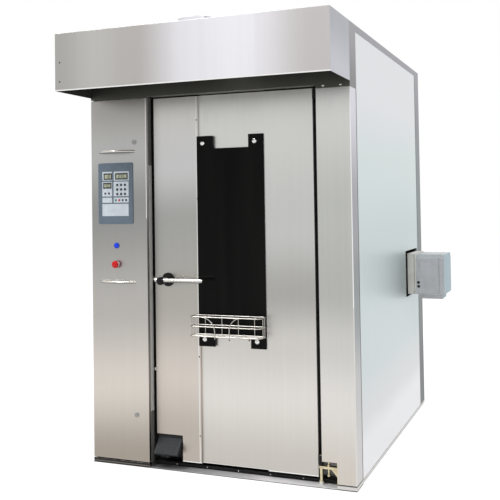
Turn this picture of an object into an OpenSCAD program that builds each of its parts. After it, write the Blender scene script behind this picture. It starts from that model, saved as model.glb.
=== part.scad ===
// Rotating rack oven: an insulated baking chamber with one hinged door, a control column on the
// left, a canopy over the front, a burner on the right side and the rack drive on the roof.
// Inside every module X runs from the left side of the body, Y from its front plane to the back
// and Z up from the floor; from_corner() then puts the origin at the centre of the footprint.

/* [Body] */
// Width of the body
body_w = 1500; // [1480:5:1560]
// Depth of the body behind its front plane
body_d = 1900; // [1880:5:1980]
// Height of the cladding
body_h = 2330; // [2320:5:2400]
// Reach of the canopy in front of the body
canopy_depth = 340; // [250:5:380]
// Height of the canopy's open lower edge
canopy_z = 2027; // [2020:1:2040]
// Thickness of the sheet metal
sheet = 2; // [1.5:0.5:2.5]

/* [Front] */
// Width of the control column
column_w = 350; // [345:1:360]
// Gap between the column and the door
latch_gap = 20; // [20:1:24]
// Width of the oven door
door_w = 918; // [900:1:930]
// Gap at the hinged side of the door
hinge_gap = 34; // [34:1:40]
// Distance from the body's front plane back to the door
door_recess = 50; // [48:1:54]
// Height of the door's lower edge
door_z0 = 38; // [34:1:44]
// Height of the door's upper edge
door_z1 = 2008; // [1990:1:2010]
// Width of the raised panel on each side of the door
door_side_w = 268; // [255:1:275]
// How far the side panels of the door stand proud of its middle
door_step = 12; // [8:1:14]

/* [Door window] */
// Height of the glass's lower edge
glass_z0 = 664; // [640:1:700]
// Height of the glass's upper edge
glass_z1 = 1789; // [1750:1:1850]
// Width of each corner tab of the glass
glass_tab_w = 95; // [85:1:100]
// Depth of the notch between two tabs
glass_notch = 68; // [50:1:80]
// Thickness of the glass
glass_t = 6; // [5:1:6]

/* [Door furniture] */
// Height of the lever handle
lever_z = 1015; // [950:1:1050]
// Height of the lower latch
lower_latch_z = 522; // [480:1:560]
// Length of the lever from its pivot
lever_reach = 247; // [200:1:260]
// Width of the wire basket
basket_w = 411; // [360:1:420]
// Height of the wire basket
basket_h = 103; // [90:1:120]
// Depth of the wire basket
basket_d = 83; // [60:1:90]

/* [Chamber] */
// Inside width of the baking chamber
chamber_w = 1140; // [1120:2:1150]
// Inside depth of the baking chamber
chamber_d = 1148; // [1120:2:1150]
// Height of the chamber's ceiling above the floor
chamber_z1 = 1990; // [1980:1:1995]
// Width of the chamber's mouth
mouth_w = 858; // [840:2:870]
// Height of the top of the mouth
mouth_z1 = 1960; // [1940:1:1970]

/* [Heat and air] */
// Distance of the burner's axis behind the front plane
burner_y = 1540; // [1530:1:1550]
// Height of the burner's axis
burner_z = 947; // [930:1:970]
// Radius of the combustion drum
drum_r = 185; // [160:1:185]
// Radius of the circulation fan's wheel
fan_r = 185; // [150:1:185]
// Number of blades on the circulation fan
fan_blades = 10; // [8:1:12]
// Rows of louvres in the left chamber wall
louvre_rows = 14; // [10:1:16]

/* [Fits] */
// Radial clearance of a running pin in its bore
running = 0.05; // [0.02:0.01:0.1]

/* [Hidden] */

$fn = 48;
far = 4000;             // reach of a cut that goes right through
cut = 1;                // overrun of a cutting solid

steel = [0.78, 0.78, 0.77];
dull_steel = [0.60, 0.60, 0.60];
dark = [0.20, 0.20, 0.21];
black = [0.05, 0.05, 0.055];
chrome = [0.85, 0.86, 0.88];
zinc = [0.78, 0.68, 0.42];

plinth_h = 24;          // height of the base pan
ledge_h = 6;            // thin front ledge of the sill
wall_y = 125;           // front face of the insulated body, behind the door
wall_t = 60;            // thickness of the insulated front wall
rail_h = 38;            // height of the trim along the roof's edge
post_w = 154;           // width of the rear corner trim on the sides
door_x0 = column_w + latch_gap;
door_x1 = door_x0 + door_w;
door_mid = (door_x0 + door_x1) / 2;
right_x = door_x1 + hinge_gap;
header_z = 1998;        // top of the right front panel
soffit_z = 2015;        // top of the column, underside of the wall above the door
centre_y = door_recess + door_step;
core_y = centre_y + sheet;
inner_y = core_y + 46;
door_back = inner_y + 8;

// Chamber and the compartment behind it
chamber_x0 = door_mid - chamber_w / 2 - sheet;
chamber_x1 = door_mid + chamber_w / 2 + sheet;
chamber_y0 = wall_y + wall_t;
chamber_y1 = chamber_y0 + chamber_d + sheet;
floor_top = plinth_h + 6;
drive_y = chamber_y0 + chamber_d / 2;
roof_z = body_h - 30;
roof_top = roof_z + 3;

// Window and glass
window_w = 193;
window_z0 = glass_z0 + glass_notch + 3;
window_z1 = glass_z1 - glass_notch - 3;
glass_x0 = door_mid - 196;
glass_x1 = door_mid + 190;
glass_y = door_recess - glass_t;
bolt_x = [glass_x0 + 36, glass_x1 - 50];
bolt_inset = 38;        // bolt centre from the glass's upper or lower edge
basket_x0 = glass_x0 - 20;

// Door hinge, service door hinge, and the pivots of the latch
hinge_x = door_x1 + 17;
hinge_y = 45;
hinge_pin_r = 8.5;
service_x = 10;
service_y = 10;
service_pin_r = 4;
lever_x = door_x0 + 80;
spindle_r = 14;
hook_reach = 94;
hook_y = 84;
hook_t = 8;
crank = 30;
crank_pin_r = 5;
pivot_pin_r = 6;

// Foot pedal
pedal_x0 = door_x0 + 2;
pedal_x1 = door_x0 + 154;
pedal_y = 70;
pedal_z = 164;
pedal_cut_z = 176;
pedal_pin_r = 5;

// Control column
plate_x = [46, 265];
plate_z = [1320, 1659];
bow_z = [1001, 1720];
bow_x = [60, 270];
bow_rise = 32;
bow_r = 7;
lock_x = 274;
lock_z = [279, 1770];
lock_r = 9;
button_x = 158;
start_z = 1201;
stop_z = 1098;
button_r = 12;
bezel_r = 16;

// Burner
burner_half = 150;
burner_x1 = 1552;
burner_end = 1732;

// Roof openings
flue_x = chamber_x1 - 60;
flue_r = 75;
steam_x = 1150;
steam_y = 300;
steam_r = 50;
collar_step = 2;        // how far a pipe's collar stands out from the pipe
shaft_r = 25;
fan_shaft_r = 19;
damper_z = roof_top + 60;

module from_corner() {
    translate([-body_w / 2, -body_d / 2, 0]) children();
}

// A box from its lowest corner to its highest
module block(low, high) {
    translate(low) cube(high - low);
}

// A round bar between two heights
module upright(x, y, z0, z1, r) {
    translate([x, y, z0]) cylinder(h = z1 - z0, r = r);
}

// A round bar along Y, from front to back
module along_y(x, z, y0, y1, r) {
    translate([x, y0, z]) rotate([-90, 0, 0]) cylinder(h = y1 - y0, r = r);
}

// A round bar along X
module along_x(y, z, x0, x1, r) {
    translate([x0, y, z]) rotate([0, 90, 0]) cylinder(h = x1 - x0, r = r);
}

// A folded front panel: a face with four returned edges, open at the back
module cassette(low, high) {
    difference() {
        block(low, high);
        block(low + [sheet, sheet, sheet], high + [-sheet, cut, -sheet]);
    }
}

// A profile drawn in Y and Z, run along X
module run_x(x0, x1) {
    translate([x0, 0, 0]) rotate([90, 0, 90]) linear_extrude(x1 - x0) children();
}

// A profile drawn in X and Z, run along Y
module run_y(y0, y1) {
    translate([0, y1, 0]) rotate([90, 0, 0]) linear_extrude(y1 - y0) children();
}

// A rectangle with true round corners, from one corner to the other
module round_rect(low, high, r) {
    translate(low + [r, 0]) square([high[0] - low[0] - 2 * r, high[1] - low[1]]);
    translate(low + [0, r]) square([high[0] - low[0], high[1] - low[1] - 2 * r]);
    for (x = [low[0] + r, high[0] - r], z = [low[1] + r, high[1] - r])
        translate([x, z]) circle(r);
}

// ---------- base, cladding and roof ----------

module base_pan() {
    wall = 8;
    rib = 4;
    cells = [5, 6];
    pitch = [(body_w - 2 * wall + rib) / cells[0], (body_d - wall_y - 2 * wall + rib) / cells[1]];
    from_corner() color(dull_steel) {
        difference() {
            union() {
                block([0, wall_y, 0], [body_w, body_d, plinth_h]);
                block([0, 0, 0], [column_w, wall_y + cut, plinth_h]);
                block([right_x + 78, 0, 0], [body_w, wall_y + cut, plinth_h]);
            }
            // toe recess along the two sides
            for (x = [-cut, body_w - 4])
                block([x, wall_y, -cut], [x + 4 + cut, body_d + cut, 8]);
            // cells between the ribs that carry the floor of the chamber
            for (i = [0 : cells[0] - 1], j = [0 : cells[1] - 1])
                translate([wall + i * pitch[0], wall_y + wall + j * pitch[1], 4])
                    cube([pitch[0] - rib, pitch[1] - rib, plinth_h]);
        }
    }
}

module front_sill() {
    step_y = 70;
    from_corner() color(steel)
        run_x(column_w, right_x + 78)
            polygon([[0, 0], [wall_y, 0], [wall_y, plinth_h], [step_y + 3, plinth_h],
                [step_y, plinth_h - 3], [step_y, ledge_h], [3, ledge_h], [0, 3]]);
}

// A side sheet with its front and rear edges turned in
module side_sheet() {
    turn = 20;
    rear = body_d - post_w - sheet / 2;
    block([0, wall_y + 1, plinth_h], [sheet, rear, body_h - rail_h - 1]);
    for (y = [wall_y + 1, rear - sheet])
        block([0, y, plinth_h], [turn, y + sheet, body_h - rail_h - 1]);
}

module left_side_panel() {
    from_corner() color(steel) side_sheet();
}

module right_side_panel() {
    from_corner() color(steel) difference() {
        translate([body_w, 0, 0]) mirror([1, 0, 0]) side_sheet();
        block([body_w - 10, burner_y - 217, burner_z - 141],
            [body_w + cut, burner_y + 180, burner_z + 153]);
    }
}

module rear_panel() {
    cover_x = [420, 1080];
    cover_z = [620, 1480];
    from_corner() color(steel) {
        block([62, body_d - 4, plinth_h], [body_w - 62, body_d - sheet, body_h - rail_h - 1]);
        // bolted inspection cover of the heat compartment, with its turned edge
        difference() {
            block([cover_x[0], body_d - sheet, cover_z[0]], [cover_x[1], body_d, cover_z[1]]);
            for (x = [cover_x[0] + 18, cover_x[1] - 18], z = [cover_z[0] + 30 : 200 : cover_z[1]])
                along_y(x, z, body_d - cut / 2, body_d + cut, 6);
        }
        // two stiffening swages below and above the cover
        for (z = [330, 1780])
            run_x(200, body_w - 200)
                polygon([[body_d - sheet, z - 14], [body_d - 0.5, z - 6], [body_d - 0.5, z + 6],
                    [body_d - sheet, z + 14]]);
    }
}

module corner_trims() {
    top = body_h - rail_h;
    from_corner() color(steel) {
        for (side = [0, 1])
            translate([side * body_w, 0, 0]) mirror([side, 0, 0]) {
                // rear corner, turned round onto the back
                block([0, body_d - post_w + 1, plinth_h], [sheet, body_d, top]);
                block([0, body_d - sheet, plinth_h], [60, body_d, top]);
                // rail along the edge of the roof
                block([0, wall_y, top], [sheet, body_d, body_h]);
                block([0, wall_y, body_h - sheet], [30, body_d, body_h]);
            }
        block([30, body_d - sheet, top], [body_w - 30, body_d, body_h]);
        block([30, body_d - 30, body_h - sheet], [body_w - 30, body_d - sheet, body_h]);
    }
}

module roof_panel() {
    from_corner() color(steel) difference() {
        union() {
            block([4, 4, roof_z], [body_w - 4, body_d - 4, roof_top]);
            // curbs that keep water out of the roof's openings
            upright(flue_x, burner_y, roof_z, roof_top + 15, flue_r + 6);
            upright(steam_x, steam_y, roof_z, roof_top + 15, steam_r + 6);
        }
        upright(flue_x, burner_y, roof_z - cut, roof_top + 20, flue_r + 0.5);
        upright(steam_x, steam_y, roof_z - cut, roof_top + 20, steam_r + 0.5);
        upright(door_mid, drive_y, roof_z - cut, roof_top + cut, shaft_r + 6);
        upright(door_mid, burner_y, roof_z - cut, roof_top + cut, fan_shaft_r + 5);
    }
}

module upper_front_panel() {
    top = body_h - sheet;
    seam = 0.2;
    from_corner() color(dull_steel) {
        difference() {
            block([0, 0, header_z], [body_w, sheet, top]);
            block([-cut, -cut, header_z - cut], [right_x, sheet + cut, soffit_z]);
        }
        // returns down both sides and the soffit over the door, each a sheet butted against the front
        block([0, sheet + seam, soffit_z], [sheet, wall_y, body_h]);
        block([body_w - sheet, sheet + seam, header_z], [body_w, wall_y, body_h]);
        block([column_w, sheet + seam, soffit_z], [right_x + 78, wall_y, soffit_z + sheet]);
    }
}

module canopy_hood() {
    collar_r = 100;
    collar_y = -canopy_depth / 2;
    from_corner() color(steel) difference() {
        union() {
            block([0, -canopy_depth, canopy_z], [body_w, 0, body_h]);
            upright(body_w / 2, collar_y, body_h - sheet, body_h + 36, collar_r);
        }
        block([sheet, sheet - canopy_depth, canopy_z - cut], [body_w - sheet, cut, body_h - sheet]);
        upright(body_w / 2, collar_y, body_h - 20, body_h + 40, collar_r - sheet);
    }
}

// ---------- control column and right front panel ----------

module control_cabinet() {
    back_y = wall_y - 4;
    lip_x = 310;
    tab = 26;
    from_corner() color(dull_steel) {
        block([0, back_y, plinth_h], [column_w, back_y + sheet, soffit_z]);
        block([0, 24, plinth_h], [sheet, back_y + cut, soffit_z]);
        block([column_w - sheet, 24, plinth_h], [column_w, back_y + cut, soffit_z]);
        block([lip_x, 24, plinth_h], [column_w, 24 + sheet, soffit_z]);
        for (z = [plinth_h, soffit_z - sheet]) {
            block([0, 24, z], [column_w, back_y + cut, z + sheet]);
            block([0, 2, z], [20, tab, z + sheet]);
        }
        upright(service_x, service_y, plinth_h + cut, plinth_h + 36, service_pin_r);
        upright(service_x, service_y, soffit_z - 34, soffit_z - cut, service_pin_r);
    }
}

// One contactor: a stepped block with its terminals and its push bridge
module contactor(x, z, y) {
    depth = 46;
    difference() {
        union() {
            block([x, y - 30, z], [x + 45, y, z + 78]);
            block([x + 5, y - depth, z + 16], [x + 40, y - 30 + cut, z + 62]);
        }
        for (i = [0 : 2], end = [0, 1])
            block([x + 5 + 13 * i, y - 30 - cut, z + end * 68 - cut],
                [x + 14 + 13 * i, y - 22, z + 10 + end * 70]);
    }
    block([x + 15, y - depth - 3, z + 30], [x + 30, y - depth + cut, z + 48]);
}

module contactor_panel() {
    plate_y = wall_y - 4;
    from_corner() color([0.30, 0.31, 0.33]) {
        block([24, plate_y - 3, 640], [300, plate_y, 1280]);
        for (row = [0 : 2]) {
            z = 700 + 190 * row;
            block([34, plate_y - 10, z + 22], [290, plate_y - 3 + cut, z + 57]);
            for (i = [0 : 4])
                contactor(42 + 48 * i, z, plate_y - 9);
        }
    }
}

module front_right_panel() {
    notch_w = 80;
    notch_z = 132;
    from_corner() color(steel) difference() {
        block([right_x, 0, plinth_h], [body_w, wall_y, header_z]);
        block([right_x + sheet, sheet, -cut], [body_w - sheet, wall_y + cut, far]);
        block([right_x - cut, -cut, -cut], [right_x + notch_w, wall_y + cut, notch_z]);
    }
}

// ---------- insulated body and chamber ----------

// It stands between the turned front edges of the two side sheets
module front_frame() {
    x0 = door_mid - mouth_w / 2;
    x1 = door_mid + mouth_w / 2;
    edge = 22;
    skin = 3;
    from_corner() color(dull_steel) difference() {
        block([edge, wall_y + 1, plinth_h], [body_w - edge, chamber_y0, roof_z - 5]);
        block([x0, 0, -cut], [x1, far, mouth_z1]);
        // the wall is a folded tray, open at the back to the wool
        difference() {
            block([edge + skin, wall_y + 1 + skin, plinth_h + skin],
                [body_w - edge - skin, far, roof_z - 5 - skin]);
            block([x0 - skin, 0, 0], [x1 + skin, far, mouth_z1 + skin]);
        }
    }
}

// Hot air leaves the left wall through rows of half-round hooded louvres
module chamber_left_wall() {
    columns = 4;
    pitch_z = (chamber_z1 - 260) / louvre_rows;
    pitch_y = chamber_d / columns;
    slot = 190;
    hood = 9;
    x = chamber_x0 + sheet;
    from_corner() color(dull_steel) difference() {
        union() {
            block([chamber_x0, chamber_y0, floor_top], [x, chamber_y1, chamber_z1]);
            for (i = [0 : columns - 1], j = [0 : louvre_rows - 1]) {
                y = chamber_y0 + pitch_y * (i + 0.5);
                z = 150 + pitch_z * j;
                translate([0, y + slot / 2, z]) rotate([90, 0, 0]) linear_extrude(slot)
                    polygon([[x - 0.5, 0], [x + hood, 0], [x + hood, 3], [x - 0.5, 26]]);
            }
        }
        for (i = [0 : columns - 1], j = [0 : louvre_rows - 1]) {
            y = chamber_y0 + pitch_y * (i + 0.5);
            z = 150 + pitch_z * j;
            translate([0, y + slot / 2 - 3, z]) rotate([90, 0, 0]) linear_extrude(slot - 6)
                polygon([[x - 5, -cut], [x + hood - 1.5, -cut], [x + hood - 1.5, 2], [x - 5, 20]]);
        }
    }
}

module chamber_right_wall() {
    from_corner() color(dull_steel) {
        block([chamber_x1 - sheet, chamber_y0, floor_top], [chamber_x1, chamber_y1, chamber_z1]);
        // bump rails for the rack
        for (z = [330, 900])
            run_y(chamber_y0 + 60, chamber_y1 - 60)
                polygon([[chamber_x1 - sheet, z], [chamber_x1 - 14, z + 10],
                    [chamber_x1 - 14, z + 50], [chamber_x1 - sheet, z + 60]]);
    }
}

// The back wall, with the slotted intake in front of the circulation fan
module chamber_rear_wall() {
    slots = 15;
    from_corner() color(dull_steel) difference() {
        block([chamber_x0 + sheet, chamber_y1 - sheet, floor_top],
            [chamber_x1 - sheet, chamber_y1, chamber_z1]);
        for (i = [0 : slots - 1], x = [-250, 20])
            block([door_mid + x, 0, 1420 + 30 * i], [door_mid + x + 230, far, 1434 + 30 * i]);
    }
}

// The ceiling carries the upper bearing of the rack drive
module chamber_ceiling() {
    from_corner() color(dull_steel) difference() {
        union() {
            block([chamber_x0, chamber_y0, chamber_z1],
                [chamber_x1, body_d - 60, chamber_z1 + sheet]);
            upright(door_mid, drive_y, chamber_z1 - 12, chamber_z1 + 45, 52);
            upright(door_mid, drive_y, chamber_z1 - 12, chamber_z1 + cut, 80);
        }
        upright(door_mid, drive_y, chamber_z1 - 20, chamber_z1 + 50, shaft_r + running);
        upright(door_mid, burner_y, chamber_z1 - cut, chamber_z1 + 10, fan_shaft_r + 6);
        upright(steam_x, steam_y, chamber_z1 - cut, chamber_z1 + 10, steam_r - 3);
        upright(flue_x, burner_y, chamber_z1 - cut, chamber_z1 + 10, flue_r + 5);
    }
}

module chamber_floor() {
    tongue = mouth_w / 2 - 1;
    from_corner() color(dull_steel) {
        block([chamber_x0, chamber_y0, plinth_h], [chamber_x1, body_d - 60, floor_top]);
        run_x(door_mid - tongue, door_mid + tongue)
            polygon([[wall_y + 2, plinth_h], [chamber_y0 + cut, plinth_h],
                [chamber_y0 + cut, floor_top], [wall_y + 12, floor_top]]);
    }
}

module insulation() {
    top = roof_z - 4;
    from_corner() color([0.80, 0.74, 0.45]) {
        block([24, chamber_y0 + 1, floor_top], [chamber_x0 - 1, body_d - 62, chamber_z1]);
        block([chamber_x1 + 1, chamber_y0 + 1, floor_top],
            [body_w - 24, burner_y - 220, chamber_z1]);
        difference() {
            block([24, chamber_y0 + 1, chamber_z1 + 47], [body_w - 24, body_d - 62, top]);
            upright(door_mid, drive_y, chamber_z1, far, shaft_r + 10);
            upright(door_mid, burner_y, chamber_z1, far, fan_shaft_r + 8);
            upright(steam_x, steam_y, chamber_z1, far, steam_r + 4);
            upright(flue_x, burner_y, chamber_z1, far, flue_r + 4);
        }
        block([24, body_d - 56, floor_top], [body_w - 24, body_d - 6, top]);
    }
}

// ---------- heat, steam and air ----------

// The combustion drum, the tube bank above it, the two header boxes and the flue
module heat_exchanger() {
    x0 = chamber_x0 + 100;
    x1 = chamber_x1 - 20;
    bank_z = burner_z + 270;
    from_corner() color([0.45, 0.42, 0.40]) difference() {
        union() {
            along_x(burner_y, burner_z, x0, x1, drum_r);
            block([x0 - 60, burner_y - 120, burner_z - 90], [x0 + cut, burner_y + 120, bank_z + 250]);
            block([x1 - 120, burner_y - 120, bank_z - 40], [x1 - 10, burner_y + 120, bank_z + 250]);
            for (row = [0 : 3], i = [-2 : 2])
                along_x(burner_y + 44 * i, bank_z + 58 * row, x0 - cut, x1 - 110, 17);
            upright(flue_x, burner_y, bank_z + 240, roof_top + 30, flue_r);
            upright(flue_x, burner_y, roof_top + 20, roof_top + 96, flue_r + collar_step);
            for (x = [x0 + 120, x1 - 200])
                block([x, burner_y - 90, floor_top], [x + 10, burner_y + 90, burner_z - drum_r + 30]);
        }
        along_x(burner_y, burner_z, x0 + 6, x1 - 6, drum_r - 6);
        along_x(burner_y, burner_z, x1 - 40, x1 + cut, 62);
        upright(flue_x, burner_y, bank_z + 220, roof_top + 100, flue_r - 3);
    }
}

// Sloping trays that throw water from one to the next
module steam_generator() {
    x0 = door_mid - 320;
    x1 = door_mid + 330;
    from_corner() color(dull_steel) {
        for (x = [x0, x1 - 5])
            block([x, burner_y - 110, floor_top], [x + 5, burner_y + 110, 620]);
        for (i = [0 : 5])
            translate([0, burner_y, 110 + 85 * i]) mirror([0, i % 2, 0])
                run_x(x0 + 2, x1 - 2)
                    polygon([[-100, 40], [-96, 40], [60, 4], [70, 22], [74, 21], [62, -1], [-100, 36]]);
    }
}

module steam_outlet_pipe() {
    from_corner() color(dull_steel) difference() {
        union() {
            upright(steam_x, steam_y, chamber_z1 + sheet, roof_top + 90, steam_r);
            upright(steam_x, steam_y, roof_top + 80, roof_top + 110, steam_r + collar_step);
            along_x(steam_y, damper_z, steam_x - steam_r - 12, steam_x + steam_r + 12, 10);
        }
        upright(steam_x, steam_y, chamber_z1, far, steam_r - 3);
        along_x(steam_y, damper_z, steam_x - 100, steam_x + 100, 5 + running);
    }
}

// Butterfly flap with its spindle and the arm that sets it
module damper_flap() {
    arm_x = steam_x + steam_r + 14;
    from_corner() color(chrome) {
        along_x(steam_y, damper_z, steam_x - steam_r - 14, arm_x + 8, 5);
        upright(steam_x, steam_y, damper_z - 1.5, damper_z + 1.5, steam_r - 3.6);
        difference() {
            union() {
                along_x(steam_y, damper_z, arm_x, arm_x + 6, 11);
                block([arm_x, steam_y, damper_z - 6], [arm_x + 6, steam_y + 62, damper_z + 6]);
            }
            along_x(steam_y + 54, damper_z, arm_x - cut, arm_x + 8, 2.5);
        }
    }
}

// A finned electric motor standing on the roof
module standing_motor(x, y, z0, r, tall) {
    fins = 20;
    upright(x, y, z0, z0 + tall, r - 8);
    upright(x, y, z0, z0 + 12, r + 18);
    upright(x, y, z0 + tall - 40, z0 + tall + 6, r - 3);
    for (i = [0 : fins - 1])
        translate([x, y, 0]) rotate([0, 0, 360 / fins * i])
            block([r - 14, -1.5, z0 + 10], [r, 1.5, z0 + tall - 42]);
    translate([x, y, 0]) rotate([0, 0, 45]) block([r - 12, -30, z0 + 60], [r + 26, 30, z0 + 130]);
}

module roof_motors() {
    box_half = 75;
    motor_r = 68;
    box_top = roof_top + 112;
    motor_z = roof_top + 72;
    from_corner() color([0.25, 0.33, 0.42]) {
        difference() {
            union() {
                // worm gearbox of the rack drive, on its foot plate
                block([door_mid - 105, drive_y - 105, roof_top], [door_mid + 105, drive_y + 105, roof_top + 10]);
                block([door_mid - box_half, drive_y - box_half, roof_top + 10 - cut],
                    [door_mid + box_half, drive_y + box_half, box_top]);
                upright(door_mid, drive_y, box_top - cut, box_top + 10, 42);
                // its motor lies along X, with cooling rings
                along_x(drive_y, motor_z, door_mid - box_half - 230, door_mid - box_half + cut, motor_r - 8);
                along_x(drive_y, motor_z, door_mid - box_half - 14, door_mid - box_half + cut, motor_r);
                for (i = [0 : 11])
                    along_x(drive_y, motor_z, door_mid - box_half - 40 - 14 * i,
                        door_mid - box_half - 36 - 14 * i, motor_r);
                along_x(drive_y, motor_z, door_mid - box_half - 246, door_mid - box_half - 205, motor_r - 4);
            }
            upright(door_mid, drive_y, roof_top - cut, box_top + 11, shaft_r + running);
        }
        difference() {
            standing_motor(door_mid, burner_y, roof_top, 88, 200);
            upright(door_mid, burner_y, roof_top - 5, roof_top + 60, fan_shaft_r + running);
        }
    }
}

// The drive shaft with its cross beam and the two hooks that lift the rack
module rack_hanger() {
    reach = 242;
    half = 30;
    beam_z = 1910;
    hook_z = 1820;
    from_corner() color(chrome) translate([door_mid, drive_y, 0]) {
        upright(0, 0, beam_z + 6, roof_top + 118, shaft_r);
        upright(0, 0, beam_z - 6, beam_z + 40, 44);
        run_y(-half, half)
            polygon([[-reach, beam_z - 8], [reach, beam_z - 8], [reach, beam_z + 4],
                [60, beam_z + 18], [-60, beam_z + 18], [-reach, beam_z + 4]]);
        for (side = [0, 1]) mirror([side, 0, 0])
            run_y(-half, half)
                polygon([[reach, beam_z], [reach - 12, beam_z], [reach - 12, hook_z + 12],
                    [reach - 46, hook_z + 12], [reach - 46, hook_z + 24], [reach - 52, hook_z + 26],
                    [reach - 52, hook_z], [reach, hook_z]]);
    }
}

// Backward-curved fan wheel: back plate, inlet ring, blades, hub and shaft
module fan_wheel() {
    z0 = 1780;
    blade_h = 110;
    blade_t = 2.5;
    blade_r = fan_r * 0.72;
    inner_r = fan_r * 0.48;
    from_corner() color(dull_steel) translate([door_mid, burner_y, 0]) {
        upright(0, 0, z0 + 20, roof_top + 55, fan_shaft_r);
        upright(0, 0, z0 + blade_h - 45, z0 + blade_h + 18, 34);
        upright(0, 0, z0 + blade_h, z0 + blade_h + 3, fan_r);
        difference() {
            upright(0, 0, z0 - 2, z0 + 1, fan_r);
            upright(0, 0, z0 - 5, z0 + 5, inner_r + 8);
        }
        for (i = [0 : fan_blades - 1])
            rotate([0, 0, 360 / fan_blades * i]) translate([inner_r, blade_r * 0.42, z0])
                rotate([0, 0, -112]) translate([-blade_r * 0.42, 0, 0])
                    rotate_extrude(angle = 50) translate([blade_r * 0.9, 0])
                        square([blade_t, blade_h + 1]);
    }
}

// ---------- burner ----------

module burner_flange() {
    from_corner() color([0.80, 0.79, 0.74]) difference() {
        union() {
            block([body_w - 60, burner_y - 215, burner_z - 139],
                [body_w - 54, burner_y + 178, burner_z + 151]);
            block([body_w - 55, burner_y - burner_half, burner_z - 127],
                [burner_x1, burner_y + burner_half, burner_z + 133]);
        }
        along_x(burner_y, burner_z, body_w - 80, burner_x1 + cut, 62.5);
        // groove where the gasket is squeezed
        difference() {
            block([burner_x1 - 14, burner_y - 200, burner_z - 200],
                [burner_x1 - 8, burner_y + 200, burner_z + 200]);
            block([burner_x1 - 20, burner_y - burner_half + 6, burner_z - 121],
                [burner_x1, burner_y + burner_half - 6, burner_z + 127]);
        }
    }
}

module burner_body() {
    low = burner_z - 129;
    top = burner_z + 128;
    y0 = burner_y - burner_half;
    y1 = burner_y + burner_half;
    bevel = 26;
    from_corner() color([0.52, 0.52, 0.54]) {
        difference() {
            union() {
                run_x(burner_x1, burner_end)
                    polygon([[y0, low + 8], [y0 + 8, low], [y1 - 8, low], [y1, low + 8],
                        [y1, top - bevel], [y1 - bevel, top], [y0 + bevel, top], [y0, top - bevel]]);
                // air box under the fan of the burner
                run_x(burner_x1 + 24, burner_end - 24)
                    polygon([[y0 + 50, low + cut], [y0 + 70, low - 34], [y1 - 70, low - 34],
                        [y1 - 50, low + cut]]);
            }
            // shadow line between the cover and its end cap
            difference() {
                block([burner_end - 34, y0 - 10, low - cut], [burner_end - 30, y1 + 10, top + cut]);
                block([burner_end - 40, y0 + 3, low + 3], [burner_end, y1 - 3, top - 3]);
            }
            // hollow of the cover, open towards the flange
            block([burner_x1 - cut, y0 + 10, low + 8], [burner_end - 10, y1 - 10, top - bevel - 6]);
            // two sight holes in the front face
            for (z = [burner_z + 50, burner_z + 72])
                along_y(burner_x1 + 24, z, y0 - cut, y0 + 6, 6);
        }
        // blast tube, with the fan housing and motor behind it
        along_x(burner_y, burner_z, chamber_x1 - 90, burner_x1 + 60, 60);
        along_x(burner_y, burner_z, burner_x1 + 50, burner_end - 5, 88);
    }
}

// ---------- door ----------

// Lower and upper pivots of the door, the adjusting screw and the seat under the pin
module hinge_brackets() {
    arm_y = [32, 58];
    x1 = right_x + 78;
    from_corner() color(zinc) {
        for (z = [86, soffit_z - 12]) {
            upright(hinge_x, hinge_y, z, z + 12, 13);
            block([hinge_x, arm_y[0], z], [x1, arm_y[1], z + 12]);
        }
        upright(hinge_x, hinge_y, ledge_h + 14, 152, hinge_pin_r);
        upright(hinge_x, hinge_y, ledge_h, ledge_h + 15, 12);
        upright(hinge_x, hinge_y, soffit_z - 65, soffit_z - cut, hinge_pin_r);
        // upright of the lower bracket, standing on the sill, and its web
        block([x1 - 6, 20, ledge_h], [x1, 70, 130]);
        run_y(42, 48) polygon([[x1 - 5, 86.5], [x1 - 46, 86.5], [x1 - 5, 40]]);
        // adjusting screw with its lock nut
        upright(right_x + 22, hinge_y, 52, 118, 5);
        translate([right_x + 22, hinge_y, 97.5]) cylinder(h = 8, r = 10, $fn = 6);
        translate([right_x + 22, hinge_y, 48]) cylinder(h = 8, r = 9, $fn = 6);
    }
}

// Rollers on the column that the two latch hooks reach behind
module strike_rollers() {
    from_corner() color([0.92, 0.92, 0.90])
        for (z = [lever_z, lower_latch_z]) {
            along_x(70, z, column_w, column_w + 14, 5);
            along_x(70, z, column_w + 2, column_w + 12, 9);
        }
}

module left_door_panel() {
    x1 = door_x0 + door_side_w;
    slot_low = 62;
    slot_high = 16;
    from_corner() color(steel) difference() {
        union() {
            cassette([door_x0, door_recess, door_z0], [x1, core_y, door_z1]);
            block([door_x0, door_recess, door_z0], [door_x0 + sheet, inner_y, door_z1]);
        }
        // corner that the foot pedal fills
        block([door_x0 - cut, door_recess - cut, door_z0 - cut],
            [door_x0 + 156, core_y + cut, pedal_cut_z]);
        block([door_x0 - cut, door_recess - cut, door_z0 - cut],
            [door_x0 + sheet + cut, inner_y - 8, pedal_cut_z]);
        along_y(lever_x, lever_z, door_recess - cut, core_y, spindle_r + 0.5);
        // slots that the hooks come out of
        for (z = [lever_z, lower_latch_z])
            block([door_x0 - cut, hook_y - 3, z - slot_low],
                [door_x0 + sheet + cut, hook_y + hook_t + 3, z + slot_high]);
    }
}

module right_door_panel() {
    from_corner() color(steel)
        cassette([door_x1 - door_side_w - 1, door_recess, door_z0], [door_x1, core_y, door_z1]);
}

module centre_door_panel() {
    x0 = door_x0 + door_side_w;
    x1 = door_x1 - door_side_w - 1;
    from_corner() color(steel) difference() {
        block([x0, centre_y, door_z0 + 2], [x1, core_y, door_z1 + 2]);
        block([door_mid - window_w / 2, 0, window_z0], [door_mid + window_w / 2, far, window_z1]);
        for (x = bolt_x, z = [glass_z0 + bolt_inset, glass_z1 - bolt_inset])
            along_y(x, z, 0, 200, 5);
    }
}

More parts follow.
